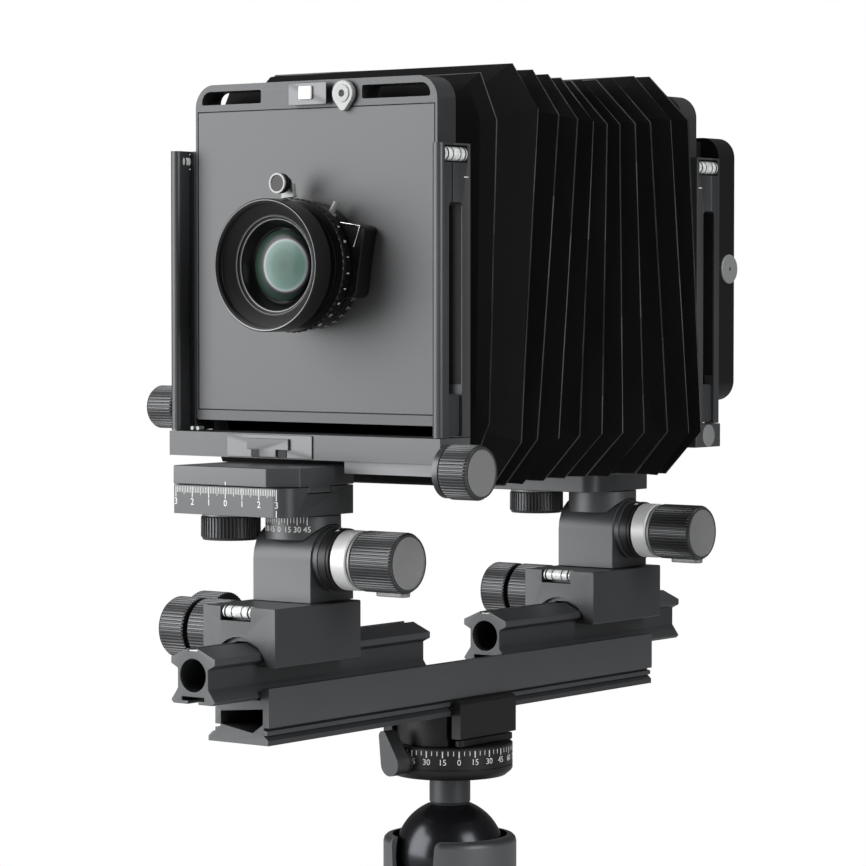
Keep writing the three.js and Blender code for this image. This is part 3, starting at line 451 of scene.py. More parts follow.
def lettering(text, size, u, v):
    """A number as a solid in (u, v, w), centred on a point."""
    curve = bpy.data.curves.new("number", "FONT")
    curve.body = text
    curve.size = size
    curve.extrude = (MARK_HIGH - MARK_LOW) / 2
    curve.align_x = "CENTER"
    curve.align_y = "CENTER"
    curve.resolution_u = 3
    writer = bpy.data.objects.new("number", curve)
    mesh = bpy.data.meshes.new_from_object(writer)
    rise = (MARK_HIGH + MARK_LOW) / 2
    points = [(p.co.x + u, p.co.y + v, p.co.z + rise) for p in mesh.vertices]
    faces = [list(face.vertices) for face in mesh.polygons]
    bpy.data.objects.remove(writer)
    bpy.data.curves.remove(curve)
    bpy.data.meshes.remove(mesh)
    return points, faces


def marks(name, outlines, numbers, place, body, material="ivory"):
    """Scale lines and numbers laid on a surface. A number is (text, size, u, v)."""
    parts = [slab(outline, MARK_LOW, MARK_HIGH, facing_up(0)) for outline in outlines]
    parts += [lettering(*number) for number in numbers]
    points, faces = joined(parts)
    mesh = make_mesh(name, [place(*p) for p in points], faces, angle=30)
    return piece(name, outward(mesh), [material], body)


def around_z(centre, radius, zero):
    """Places marks on an upright drum; u runs to the right round it from an azimuth."""
    def place(u, v, w):
        turn = zero + u / radius
        return (centre[0] + (radius + w) * math.cos(turn), centre[1] + (radius + w) * math.sin(turn), v)
    return place


def mirrored_v(place, about):
    """Turns marks round so that they read from the lens side."""
    return lambda u, v, w: place(u, 2 * about - v, w)


# ---------- knobs ----------

def knob(node, axis, outer_side, bands, rim=None, rim_material=2, grooves=52, shaft=4.0):
    """A knob with straight grooves. Bands are (start, end) from its outer face; rim is a plain stretch."""
    low, high = box(node)
    across = [k for k in "xyz" if k != axis]
    radius = min((getattr(high, k) - getattr(low, k)) / 2 for k in across)
    centre = Vector((0, 0, 0))
    for k in across:
        setattr(centre, k, getattr(high, k) - radius)
    start = getattr(high if outer_side > 0 else low, axis)
    end = getattr(low if outer_side > 0 else high, axis)
    break_width = 0.5
    waist = radius - 3
    waist_length = 2.4
    rows = [(0, break_width, 1), (radius - 2.2, break_width, 1), (radius - 1.9, 0), (radius - 0.9, 0)]
    for band_start, band_end in bands:
        rows += [(radius - break_width, band_start), (radius, band_start + break_width, 0, True),
                 (radius, band_end - break_width, 0, True), (radius - break_width, band_end)]
        if band_end != bands[-1][1]:
            rows += [(waist, band_end), (waist, band_end + waist_length)]
    if rim:
        rows += [(radius - 0.9, rim[0], rim_material), (radius - break_width, rim[0] + 0.2, rim_material),
                 (radius - break_width, rim[1])]
    length = abs(end - start)
    rows += [(shaft, rows[-1][1]), (shaft, length), (0, length)]
    rows = [(row[0], start - outer_side * row[1], *row[2:]) for row in rows]
    turned(node + "_knurled", axis, centre, rows, ["knurl", "cap", "silver"], body_of(node), "knob", [node],
           grooves=grooves)


def knobs():
    for end in ENDS:
        knob(f"{end}_focus_knob", "x", -1, [(0.8, 15), (18, 35.2)])
        knob(f"{end}_tilt_knob", "x", 1, [(0.8, 23.6)], rim=(24.3, 25.4), grooves=54, shaft=5)
        knob(f"{end}_shift_knob", "z", -1, [(1.0, 11.0)], rim=(11.1, 12.2), grooves=50)
        knob(f"{end}_rise_knob", "x", -1, [(0.8, 15.6)], grooves=40, shaft=2)
    knob("front_focus_lock", "x", -1, [(0.8, 17)], grooves=52)
    knob("orbix_knob", "x", 1, [(1.2, 15.6)], rim=(16.0, 19.2), rim_material=0, grooves=48, shaft=2)
    knob("friction_knob", "x", -1, [(1, 18)], grooves=40)
    for end in ENDS:
        low, high = box(f"{end}_tilt_knob")
        tab = rounded(17, 6.4, 2.4, at=(high.x - 10.5, (low.y + high.y) / 2 + 2))
        tab_half = 1.4
        plate(f"{end}_tilt_lever", tab, -tab_half, tab_half, facing_up(low.z + 1.6), ["cap"],
              body_of(f"{end}_tilt_knob"), 0.5)


# ---------- ball head and clamp ----------

def ball_housing(ball_radius, centre_z):
    """The head's outer shell, hollowed for the ball, with a drop notch and the friction knob's seat."""
    high = box("head_housing")[1]
    radius = high.x
    rim = high.z
    shell = [(0, 0), (radius - 1.5, 0), (radius, 1.5), (radius, 24), (radius - 0.5, 24.4), (radius - 0.5, 25),
             (radius, 25.4), (radius, rim - 3.4), (radius - 0.5, rim - 1.6), (radius - 1.6, rim - 0.5),
             (radius - 3.4, rim), (0, rim)]
    body = turned("head_housing_shell", "z", (0, 0, 0), shell, ["anodised"], "head_base", "anodised",
                  ["head_housing"], 128)
    cavity = ball_radius + 3
    steps = 40
    hollow = [(cavity * math.sin(math.pi * i / steps), centre_z - cavity * math.cos(math.pi * i / steps))
              for i in range(steps)] + [(0, centre_z + cavity)]
    mouth = [(0, rim - 3), (26.4, rim - 3), (28.4, rim + 1), (0, rim + 1)]
    seat = [(0, -radius - 3), (9.5, -radius - 3), (9.5, -radius + 2), (4.4, -radius + 2), (4.4, -20),
            (0, -20)]
    notch_radius = 12
    notch = [(notch_radius * math.cos(a), notch_radius * math.sin(a))
             for a in [math.pi + math.pi * i / 20 for i in range(21)]]
    notch += [(notch_radius + 1.2, 20), (-notch_radius - 1.2, 20)]
    notch = [(u, centre_z - 8 + v) for u, v in notch]
    cut(body, lathe("hollow", "z", (0, 0, 0), hollow, 96))
    cut(body, lathe("mouth", "z", (0, 0, 0), mouth, 96))
    cut(body, lathe("seat", "x", (0, 0, middle("friction_knob").z), seat, 48))
    cut(body, outward(make_mesh("notch", *slab(notch, -radius - 2, -8, facing_back(0)))))
    broken_edges(body, 0.7, 40)


def ball_and_neck(ball_radius, centre_z, top):
    neck = 10.1
    start = math.asin(neck / ball_radius)
    steps = 48
    angles = [start + (math.pi - start) * i / steps for i in range(steps)]
    sphere = [(ball_radius * math.sin(a), centre_z + ball_radius * math.cos(a)) for a in angles]
    sphere.append((0, centre_z - ball_radius))
    neck_foot = sphere[0][1]
    stem = [(0, top, 1), (neck - 1.2, top, 1), (neck - 1.2, top - 1.4, 1), (neck, top - 1.9, 1),
            (neck, neck_foot + 1.2, 1), (neck - 0.6, neck_foot + 0.6, 1)]
    turned("head_ball_polished", "z", (0, 0, 0), stem + sphere, ["ball", "anodised"], body_of("head_ball"),
           "ball_coating", ["head_ball"])


def pan_dial():
    """The turning drum over the ball, with a line each 5 degrees and a number each 15."""
    low, high = box("pan_dial")
    radius = (high.x - low.x) / 2
    bottom = low.z
    split = bottom + 5.4
    top = bottom + 16
    drum = [(0, bottom), (radius - 3.2, bottom), (radius - 0.6, bottom + 2.2), (radius, bottom + 3.2),
            (radius, split - 0.3), (radius - 0.7, split - 0.3), (radius - 0.7, split), (radius, split),
            (radius, top - 0.6), (radius - 0.6, top), (0, top)]
    body = body_of("pan_dial")
    turned("pan_dial_drum", "z", (0, 0, 0), drum, ["dark"], body, "anodised", ["pan_dial"], 128)
    pitch = math.radians(5) * radius
    ticks = []
    numbers = []
    for step in range(-36, 36):
        numbered = step % 3 == 0
        ticks.append(tick(step * pitch, top - (4.6 if numbered else 3.6), top - 1.4,
                          0.55 if numbered else 0.34))
        if numbered:
            numbers.append((str(abs(step * 5)), 4.1, step * pitch, top - 6.9))
    marks("pan_dial_scale", ticks, numbers, around_z((0, 0), radius, -math.pi / 4), body)


def ball_head():
    low, high = box("head_ball")
    ball_radius = (high.x - low.x) / 2
    centre_z = low.z + ball_radius
    ball_housing(ball_radius, centre_z)
    ball_and_neck(ball_radius, centre_z, box("pan_dial")[0].z - 0.2)
    pan_dial()
    dressed("pan_lever", "knurl", 0.4)


def quick_clamp():
    dressed("clamp_body", "dark", 0.4)
    dressed("clamp_lever", "dark", 0.5)
    dressed("clamp_jaw", "dark", 0.4)
    low, high = box("clamp_body")
    marks("clamp_pointer", [tick(0, low.z + 0.4, low.z + 3.2, 0.5)], [], around_z((0, 0), 27.0, -math.pi / 4),
          "clamp")
    pin_top = high.z - 1.3
    turned("clamp_stop_pin", "z", (7, -24.5, 0), bar(1.5, pin_top - 1.3, pin_top), ["chrome"], "clamp",
           "silver",
           segments=24)


# ---------- rails, carriers, tilt heads and shift plates ----------

def rails():
    dressed("base_rail", "anodised", 0.3, merged=False)
    for end in ENDS:
        node = f"{end}_rail"
        dressed(node, "anodised", 0.3)
        ruler(end, *box(node))


def ruler(end, low, high):
    """A white strip along the top of an upper rail, with a line each millimetre."""
    strip = oblong(-2.4, 2.4, low.y + 0.4, high.y - 0.4)
    floor = high.z - 1.2
    top = floor + 0.45
    points, faces = slab(strip, floor - 0.02, top, facing_up(0))
    piece(f"{end}_ruler", outward(make_mesh("ruler", points, faces)), ["ivory"], "rails")
    first = low.y + 1
    length = int(high.y - low.y) - 2
    left = -2.3
    lines = [oblong(left, left + (3.2 if i % 5 == 0 else 1.8), first + i, first + i + 0.22)
             for i in range(length)]
    numbers = [(str(i // 10), 1.9, 1.3, first + i) for i in range(10, length, 10)]
    marks(f"{end}_ruler_lines", lines, numbers, facing_up(top), "rails", "black")


def vial(name, axis, centre, length, radius, body):
    """A spirit level: a clear tube with dark rings."""
    half = length / 2
    place = centre["xyz".index(axis)]
    hub = [0 if k == axis else c for k, c in zip("xyz", centre)]
    tube = [(0, -half), (radius - 0.5, -half), (radius, -half + 0.5), (radius, half - 0.5),
            (radius - 0.5, half),
            (0, half)]
    turned(name, axis, hub, [(r, place + t) for r, t in tube], ["vial"], body, "lens_glass", segments=32)
    for i, (offset, wide) in enumerate(((-0.4, 0.5), (-0.17, 0.3), (0.17, 0.3), (0.4, 0.5))):
        at = place + offset * length
        band = [(radius - 0.3, at - wide), (radius + 0.06, at - wide), (radius + 0.06, at + wide),
                (radius - 0.3, at + wide)]
        turned(f"{name}_ring_{i}", axis, hub, band, ["black"], body, "lens_black", segments=32)


def tilt_head(end):
    """A dark disc on a saddle over the half-round post, and the silver collar on the tilt axle."""
    node = f"{end}_tilt_head"
    body = body_of(node)
    post_low, post_high = box(f"{end}_post")
    axis_y = (post_low.y + post_high.y) / 2
    axis_z = post_high.z - (post_high.y - post_low.y) / 2
    disc_top = box(f"{end}_shift_plate")[0].z - 0.3
    radius = 17.6
    disc = [(0, disc_top - 3.4), (radius - 4, disc_top - 3.4), (radius - 4, disc_top - 11),
            (radius - 0.6, disc_top - 11.6), (radius, disc_top - 11.0), (radius, disc_top - 0.5),
            (radius - 0.5, disc_top), (0, disc_top)]
    head = turned(node + "_disc", "z", (0, axis_y, 0), disc, ["anodised"], body, "tilt_head", [node])
    cut(head, lathe("saddle", "x", (0, axis_y, axis_z), bar(16.25, -30, 30), 96))
    head.data.set_sharp_from_angle(angle=math.radians(35))

    start = post_high.x + 0.4
    stop = box(node)[1].x
    hub = start + 5.9
    boss = 14.6
    ring = 13.9
    collar = [(0, start), (boss, start, 1), (boss, hub - 2.0, 1), (boss - 0.4, hub - 1.8, 1),
              (boss - 0.4, hub - 1.4, 1), (boss, hub - 1.2, 1), (boss, hub - 0.2, 1), (ring - 0.4, hub, 1),
              (ring - 0.4, hub + 0.5), (ring, hub + 0.7), (ring, stop - 0.6), (ring - 0.6, stop), (0, stop)]
    turned(node + "_collar", "x", (0, axis_y, axis_z), collar, ["collar", "dark"], body, "silver")

    def round_boss(u, v, w):
        return (u, axis_y + (boss + w) * math.sin(v / boss), axis_z + (boss + w) * math.cos(v / boss))
    pointer = [(hub - 2.6, -6.2), (hub - 0.6, -5.0), (hub - 2.6, -3.8)]
    zero_line = oblong(start + 1.4, start + 4.2, -1.2, -0.8)
    marks(f"{end}_tilt_zero_marks", [pointer, zero_line], [], round_boss, body)
    if end == "front":
        pitch = math.radians(5) * radius
        ticks = [tick(i * pitch, disc_top - (4.3 if i % 3 == 0 else 3.3), disc_top - 0.5,
                      0.42 if i % 3 == 0 else 0.3) for i in range(-9, 10)]
        numbers = [(str(abs(i) * 5), 3.7, i * pitch, disc_top - 6.4) for i in range(-9, 10, 3)]
        marks("front_swing_scale", ticks, numbers, around_z((0, axis_y), radius, -math.pi / 2), body)


def shift_scale():
    """Millimetre lines and centimetre numbers along the front shift plate and round its corner."""
    node = "front_shift_plate"
    low, high = box(node)
    zero = -16.3
    straight = 11.0
    bend = 8.0

    def plate_face(u, v, w):
        if u <= straight:
            return (u, low.y - w, v)
        turn = (u - straight) / bend
        return (straight + (bend + w) * math.sin(turn), low.y + bend - (bend + w) * math.cos(turn), v)
    top = high.z
    ticks = [tick(zero + i, top - (5.6 if i % 10 == 0 else 4.3 if i % 5 == 0 else 3.4), top - 0.5,
                  0.4 if i % 10 == 0 else 0.26) for i in range(-30, 31)]
    numbers = [(str(abs(i)), 4.3, zero + 10 * i, top - 7.7) for i in range(-3, 4)]
    ticks.append(tick(zero + 30, low.z + 0.2, low.z + 3.3, 0.42))
    marks("front_shift_scale", ticks, numbers, plate_face, body_of(node))
    slide = "front_shift_slide"
    slide_low, slide_high = box(slide)
    edge = slide_high.z - 8.7
    marks("front_shift_index", [tick(zero, edge + 0.4, edge + 2.0, 0.42)], [], facing_front(slide_low.y),
          body_of(slide))


def standard_foot(end):
    carrier = f"{end}_carrier"
    dressed(carrier, "anodised", 0.45)
    dressed(f"{end}_post", "anodised", 0.35)
    low, high = box(carrier)
    vial(f"{end}_carrier_vial", "x", (-2, low.y + 3.1, high.z - 2.6), 17, 2.7, body_of(carrier))
    tilt_head(end)
    dressed(f"{end}_shift_plate", "anodised", 0.5)
    dressed(f"{end}_shift_slide", "anodised", 0.5)
    if end == "front":
        shift_scale()


# ---------- bases, columns and frames ----------

def catch(end, low, high):
    """The release catch on a base's outer face, with its slide, pockets and pins."""
    body = body_of(f"{end}_base")
    outer = low.y if end == "front" else high.y
    face = facing_front(outer) if end == "front" else facing_back(outer)
    mid_z = (low.z + high.z) / 2
    plate(f"{end}_catch_plate", rounded(51.5, high.z - low.z - 0.9, 0.5, at=(-18.5, mid_z)), 0.0, 0.7, face,
          ["anodised"], body, 0.2)
    slider = [(-31, 3.6), (-6, 3.6), (-6, -1.6), (-13.5, -1.6), (-13.5, -5.0), (-23.5, -5.0), (-23.5, -1.6),
              (-31, -1.6)]
    slider = [(u, mid_z + v) for u, v in slider]
    plate(f"{end}_catch_slide", slider, 0.8, 1.9, face, ["anodised"], body, 0.25)
    for i, u in enumerate((-26.5, -10.5)):
        plate(f"{end}_catch_pocket_{i}", rounded(5.4, 3.4, 0.5, at=(u, mid_z - 3.5)), 0.72, 0.95, face,
              ["black"],
              body, 0.05)
    inward = 1 if end == "front" else -1
    pin = bar(0.9, outer - inward * 0.6, outer + inward * 3)
    for i, u in enumerate((-66, -62.5)):
        turned(f"{end}_board_pin_{i}", "y", (u, 0, high.z + 1.6), pin, ["silver"], body, "silver",
               segments=20)


def column_slot(end, low, high, low_y):
    """Painted shade inside the right column's slot: a black strip on the frame behind it, and a black sheet
    on the slot's far wall.
    """
    top = high.z - 27
    frame_node = f"{end}_frame"
    plate(f"{end}_slot_shade_strip", oblong(low_y + 0.6, low_y + 9.4, low.z + 20, top), 0.0, 0.2,
          facing_right(low.x - 0.27), ["black"], body_of(frame_node), 0.05)
    wall = oblong(low.x + 0.4, high.x - 0.7, low.z + 24, top)
    plate(f"{end}_slot_wall_shade", wall, 0.0, 0.12, facing_front(low_y + 10), ["black"],
          body_of(f"{end}_column_right"), 0.03)


def column(end, side):
    node = f"{end}_column_{side}"
    dressed(node, "anodised", 0.6)
    low, high = box(node)
    from_front = end == "front"
    vial_y = low.y + 12.1 if from_front else high.y - 12.1
    vial_x = high.x - 2.7 if side == "right" else low.x + 2.7
    vial(f"{node}_vial", "y", (vial_x, vial_y, high.z - 4.8), 16.4, 3.3, body_of(node))
    if side == "right":
        # Black sheets in the slot are painted shade.
        column_slot(end, low, high, low.y + 6.6 if from_front else high.y - 16.6)
        line_y = vial_y + (7.5 if from_front else -7.5)
        line = oblong(line_y - 1.6, line_y + 1.6, high.z - 15.3, high.z - 14.9)
        marks(f"{node}_index", [line], [], facing_right(high.x), body_of(node))


def standard_top(end):
    base = f"{end}_base"
    dressed(base, "anodised", 0.45, merged=False)
    low, high = box(base)
    low.z = box("rear_base")[0].z
    catch(end, low, high)
    if end == "rear":
        side = high.x
        cover = [(0, side - 0.1), (5.5, side - 0.1), (5.5, side + 0.25), (5.1, side + 0.35), (0, side + 0.35)]
        turned("rear_base_cover", "x", (0, (low.y + high.y) / 2, (low.z + high.z) / 2), cover, ["cap"],
               body_of(base), "anodised", segments=48)
    for side in ("left", "right"):
        column(end, side)


def formats():
    dressed("front_frame", "anodised", 0.6, merged=False)
    dressed("rear_frame", "anodised", 0.6, merged=False)
    dressed("lens_board", "board", 0.4)
    face = facing_front(frame_low.y)
    bar_z = (board_high.z + frame_high.z) / 2 + 0.1
    plate("board_lock_slide", rounded(22.5, 10.2, 0.8, at=(-1, bar_z)), 0.05, 0.55, face, ["anodised"],
          "front_frame", 0.15)
    plate("board_lock_button", rounded(7.4, 6.2, 0.6, at=(-1.6, bar_z + 0.5)), 0.6, 1.8, face, ["ivory"],
          "front_frame", 0.3)
    cam = "board_lock_cam"
    dressed(cam, "silver", 0.5)
    low, high = box(cam)
    front = low.y
    screw = [(0, front - 0.1, 1), (1.5, front - 0.1), (1.7, front - 0.5), (4.0, front - 0.5),
             (4.2, front + 0.6),
             (0, front + 0.6)]
    turned("board_lock_screw", "y", ((low.x + high.x) / 2, 0, high.z - 6.2), screw, ["cap", "black"],
           body_of(cam),
           "knob", segments=48)


# ---------- lens ----------

def lens_rim():
    """The front cell: a filter thread, a hood, two bright steps and a stepped cone down to the glass."""
    node = "front_lens_cell"
    low, high = box(node)
    radius = (high.x - low.x) / 2
    front = low.y
    back = high.y
    rows = [(13.6, back), (24.2, back), (24.4, back - 2.4), (25.4, back - 3.2), (28.6, back - 5.4),
            (29.6, back - 6.4), (29.6, back - 7.2), (radius, back - 7.6), (radius, front + 0.5),
            (radius - 0.5, front, 2), (radius - 1.0, front + 0.2)]
    for i in range(6):
        rows += [(radius - 1.5, front + 0.5 + 0.5 * i, 1), (radius - 2.0, front + 0.75 + 0.5 * i, 1)]
    rows += [(radius - 2.2, front + 3.6, 1), (radius - 3.0, front + 4.0, 1), (23.2, front + 7.0, 1),
             (22.7, front + 7.0, 2), (22.4, front + 7.3, 1), (22.2, front + 8.0, 1), (21.4, front + 8.3, 2),
             (21.0, front + 8.5)]
    for i in range(4):
        rows += [(20.6 - 0.75 * i, front + 8.8 + 1.2 * i), (20.4 - 0.75 * i, front + 9.4 + 1.2 * i)]
    rows += [(17.6, front + 13.6), (17.0, front + 13.9), (17.0, front + 15.8), (13.6, front + 16.0)]
    turned("lens_rim", "y", (0, 0, LENS_Z), rows, ["lens", "lens_inner", "cap"], body_of(node), "lens_black",
           [node], 128, angle=25)


def front_glass():
    low, high = box("front_lens")
    radius = (high.x - low.x) / 2
    back = high.y + GLASS_SET_BACK
    edge = back - 1.0
    bulge = high.y - low.y - 1.0
    steps = 16
    dome = [(0, back), (radius, back), (radius, edge)]
    dome += [(radius * math.cos(a), edge - bulge * math.sin(a))
             for a in [math.pi / 2 * i / steps for i in range(steps)]]
    dome.append((0, edge - bulge))
    turned("front_element", "y", (0, 0, LENS_Z), dome, ["painted_reflection_glass"], body_of("front_lens"), "lens_glass",
           ["front_lens"], angle=60)


def round_lens(radius):
    """Places marks round the lens; u runs round it from its right-hand side."""
    def place(u, v, w):
        return ((radius + w) * math.cos(u / radius), v, LENS_Z + (radius + w) * math.sin(u / radius))
    return place


def shutter():
    """The shutter's housing, its knurled speed ring, and the numbers round both."""
    node = "shutter_body"
    body = body_of(node)
    low, high = box(node)
    ring_low, ring_high = box("speed_ring")
    barrel = 29.5
    step_y = ring_high.y
    housing = [(14, high.y), (17.5, high.y), (17.5, BOARD_PLANE), (28.5, BOARD_PLANE),
               (barrel, BOARD_PLANE - 0.8),
               (barrel, step_y + 3.4), (28.9, step_y + 3.2, 1), (28.9, step_y + 2.6, 1),
               (barrel, step_y + 2.4),
               (barrel, step_y + 0.3), (26.8, step_y + 0.3), (26.8, low.y), (14, low.y)]
    turned("shutter_housing", "y", (0, 0, LENS_Z), housing, ["lens", "cap"], body, "lens_black", [node], 128)
    radius = (ring_high.x - ring_low.x) / 2
    band = radius - 0.4
    ring = [(27.2, ring_low.y), (radius - 0.6, ring_low.y), (radius, ring_low.y + 0.5, 0, True),
            (radius, ring_low.y + 1.9, 0, True), (band, ring_low.y + 2.1), (band, ring_high.y - 0.4),
            (radius - 0.8, ring_high.y), (27.2, ring_high.y)]
    turned("shutter_speed_ring", "y", (0, 0, LENS_Z), ring, ["lens"], body_of("speed_ring"), "lens_black",
           ["speed_ring"], grooves=60, depth=0.45)

    speeds = ("T", "B", "1", "2", "4", "8", "15", "30", "60", "125", "250", "500")
    step = math.radians(14) * band
    row = (ring_low.y + ring_high.y) / 2 + 0.9
    numbers = [(text, 2.3, -(i - 2.5) * step, row) for i, text in enumerate(speeds)]
    marks("shutter_speed_scale", [], numbers, mirrored_v(round_lens(band), row), body_of("speed_ring"))
    stops = ("5.6", "8", "11", "16", "22", "32", "45", "64")
    step = math.radians(10) * barrel
    row = BOARD_PLANE - 2.0
    places = [-(i + 1.2) * step for i in range(len(stops))]
    numbers = [(text, 2.0, u, row) for text, u in zip(stops, places)]
    ticks = [tick(u, row - 2.6, row - 1.4, 0.24) for u in places]
    marks("aperture_scale", ticks, numbers, mirrored_v(round_lens(barrel), row), body)
    cell_collar = 29.6
    for name, turn, colour in (("flash_mark", 62, "red"), ("focus_mark", 55, "green")):
        dot = rounded(1.2, 0.7, 0.3, 2, at=(math.radians(turn) * cell_collar,
                                            box("front_lens_cell")[1].y - 6.8))
        marks(name, [dot], [], round_lens(cell_collar), body, colour)


def shutter_fittings():
    """The case on the shutter's right, the bump over its blades, the press lever and the cable socket."""
    body = body_of("shutter_body")
    face = facing_front(BOARD_PLANE + 0.2)
    case = [(21, -15), (31, -15), (33, -13), (36, 6), (38, 16), (36, 18), (24, 20), (21, 18)]
    plate("shutter_case", [(u, LENS_Z + v) for u, v in case], 0.2, 10, face, ["lens"], body,
          0.6)
    plate("shutter_bump", rounded(11, 12, 2, at=(-12, LENS_Z + 24.5)), 0.2, 9, face, ["lens"], body,
          0.6)
    rods = (
        ("press_lever", ((25, 19.5), (36.2, 18), (32.4, 8.5)), 10.6, 0.45, "chrome"),
        ("cable_socket", ((17.2, 24), (20.6, 29.2)), 8, 1.45, "silver"),
        ("cable_socket_collar", ((16.2, 22.4), (17.3, 24.1)), 8, 2.5, "silver"),
    )
    for name, route, forward, radius, material in rods:
        points = [(x, BOARD_PLANE - forward, LENS_Z + z) for x, z in route]
        piece(name, make_rod(name, points, radius), [material], body)


def cocking_lever():
    """A bright arm and a black knob with a silver rim."""
    node = "cocking_lever"
    low, high = box(node)
    body = body_of(node)
    front = low.y
    x = (low.x + high.x) / 2
    z = high.z - 4.8
    arm = [(x - 2.2, z), (x - 3.6, LENS_Z + 31.0), (x + 4.4, LENS_Z + 31.6), (x + 3.4, z)]
    plate("cocking_arm", arm, 0, 2.6, facing_front(front + 9.6), ["silver"], body, 0.4)
    head = [(0, front + 0.5), (3.6, front + 0.5, 1), (3.9, front, 1), (4.7, front, 1), (4.8, front + 0.9),
            (4.6, front + 4.2), (3.0, front + 5.2), (3.0, front + 7.4), (0, front + 7.4)]
    turned("cocking_knob", "y", (x, 0, z), head, ["lens", "silver"], body, "silver", [node], 64)


def rear_cell():
    """The half of the lens behind the board."""
    behind = board_high.y
    rows = [(0, behind + 16, 1), (14.5, behind + 16), (15.5, behind + 16.6), (20.4, behind + 16.6),
            (21, behind + 16), (21, behind + 6), (24.5, behind + 5.4), (24.5, behind + 0.6),
            (23.9, behind + 0.1),
            (18, behind + 0.1), (18, behind + 4), (0, behind + 4)]
    turned("rear_lens_cell", "y", (0, 0, LENS_Z), rows, ["lens", "painted_reflection_glass"], body_of("shutter_body"),
           "lens_black")


def lens():
    lens_rim()
    front_glass()
    shutter()
    shutter_fittings()
    cocking_lever()
    rear_cell()


def make_rod(name, points, radius, sides=16):
    """A round bar along straight stretches, with closed ends."""
    rings = []
    for i, p in enumerate(points):
        here = Vector(p)
        before = Vector(points[max(0, i - 1)])
        after = Vector(points[min(len(points) - 1, i + 1)])
        along = (after - before).normalized()
        side = along.cross(Vector((0, 1, 0.01))).normalized()
        up = side.cross(along)
        rings.append([here + radius * (side * math.cos(TAU * k / sides) + up * math.sin(TAU * k / sides))
                      for k in range(sides)])
    verts = [p for ring in rings for p in ring]
    faces = [[i * sides + k, i * sides + (k + 1) % sides, (i + 1) * sides + (k + 1) % sides,
              (i + 1) * sides + k]
             for i in range(len(points) - 1) for k in range(sides)]
    faces += [list(range(sides))[::-1], list(range((len(points) - 1) * sides, len(points) * sides))]
    return outward(make_mesh(name, verts, faces, angle=40))


# ---------- ground-glass back ----------

def back():
    dressed("ground_glass_back", "dark", 0.8, merged=False)
    dressed("ground_glass", "frosted", 0.15)
    low, high = box("ground_glass_back")
    glass_low, glass_high = box("ground_glass")
    body = body_of("ground_glass_back")
    side = high.x
    disc = [(0, side - 0.2, 1), (0.8, side - 0.2), (0.9, side + 0.9), (7.0, side + 0.9), (7.4, side + 0.5),
            (7.4, side - 0.2)]
    turned("back_release_disc", "x", (0, (low.y + high.y) / 2 + 7.0, BOARD_Z - 3), disc, ["silver", "black"],
           body,
           "silver", segments=64)
    half_width = (glass_high.x - glass_low.x) / 2
    height = glass_high.z - glass_low.z
    inset = 4
    spacing = 10
    half_line = 0.06
    lines = [oblong(i * spacing - half_line, i * spacing + half_line, glass_low.z + inset,
                    glass_high.z - inset)
             for i in range(-5, 6)]
    lines += [oblong(-half_width + inset, half_width - inset, BOARD_Z + i * spacing - half_line,
                     BOARD_Z + i * spacing + half_line) for i in range(-4, 5)]
    marks("ground_glass_grid", lines, [], facing_back(glass_high.y), body_of("ground_glass"), "black")
    face = high.y
    screw = [(0, face + 0.8), (2.2, face + 0.8), (2.0, face + 1.9), (0, face + 1.9)]
    for sign, side_name in ((-1, "left"), (1, "right")):
        x = sign * (half_width + 4.5)
        strip = [(x + v, BOARD_Z + u) for u, v in rounded(height + 12, 7, 2)]
        plate(f"back_spring_{side_name}", strip, 0.1, 0.9, facing_back(face), ["silver"], body, 0.2)
        for end in (-1, 1):
            turned(f"back_screw_{sign + 1}_{end + 1}", "y", (x, 0, BOARD_Z + end * height * 0.5), screw,
                   ["chrome"], body, "silver", segments=24)


# ---------- bellows ----------

# One row for each ridge, from the front: its y at the top corner and at the bottom corner, how far its top
# sags below the highest one, how much narrower it is, how long its cut corner is, and how far its bottom is
# up.
PLEATS = (
    (-77.2, -83.2, 5.0, 3.0, 10.0, 9.0),
    (-49.2, -62.2, -1.0, 0.0, 16.0, 0.0),
    (-31.2, -48.2, 0.8, 0.6, 17.0, 0.3),
    (-15.2, -31.2, 2.0, 0.8, 19.0, 0.8),
    (-2.2, -13.2, 3.0, 1.0, 20.0, 1.2),
    (9.8, 5.8, 3.4, 1.2, 21.5, 1.4),
    (20.8, 23.8, 3.2, 1.4, 22.0, 1.3),
    (33.8, 42.8, 2.2, 1.4, 22.0, 0.9),
    (46.8, 62.8, 1.0, 1.0, 21.0, 0.4),
    (63.8, 80.8, -0.6, 0.6, 20.0, 0.0),
    (79.8, 92.0, -1.5, 0.4, 22.0, 0.0),
)
# (share of the way to the next ridge, share of the fold's depth)
SHARP_FOLD = ((0.2, 0.42), (0.42, 0.9), (0.5, 1.0), (0.58, 0.9), (0.8, 0.42))
SOFT_FOLD = ((0.1, 0.55), (0.22, 1.0), (0.45, 0.72), (0.7, 0.34), (0.88, 0.1))
CUT_HEIGHT = 22
FOLD_DEPTH = 17.5
SOFT_DEPTH = 10
END_DEPTH = 19.5
# Half the width of the lighter strip along each ridge, which is a painted highlight.
RIDGE_HALF = 0.28
RIDGE_CROWN = 0.5
CLOTH_THICKNESS = 0.45
# The turn between these links' bodies is found steadily only from the link's far body.
BENT_FROM_FAR_END = ("bellows_04", "bellows_10")


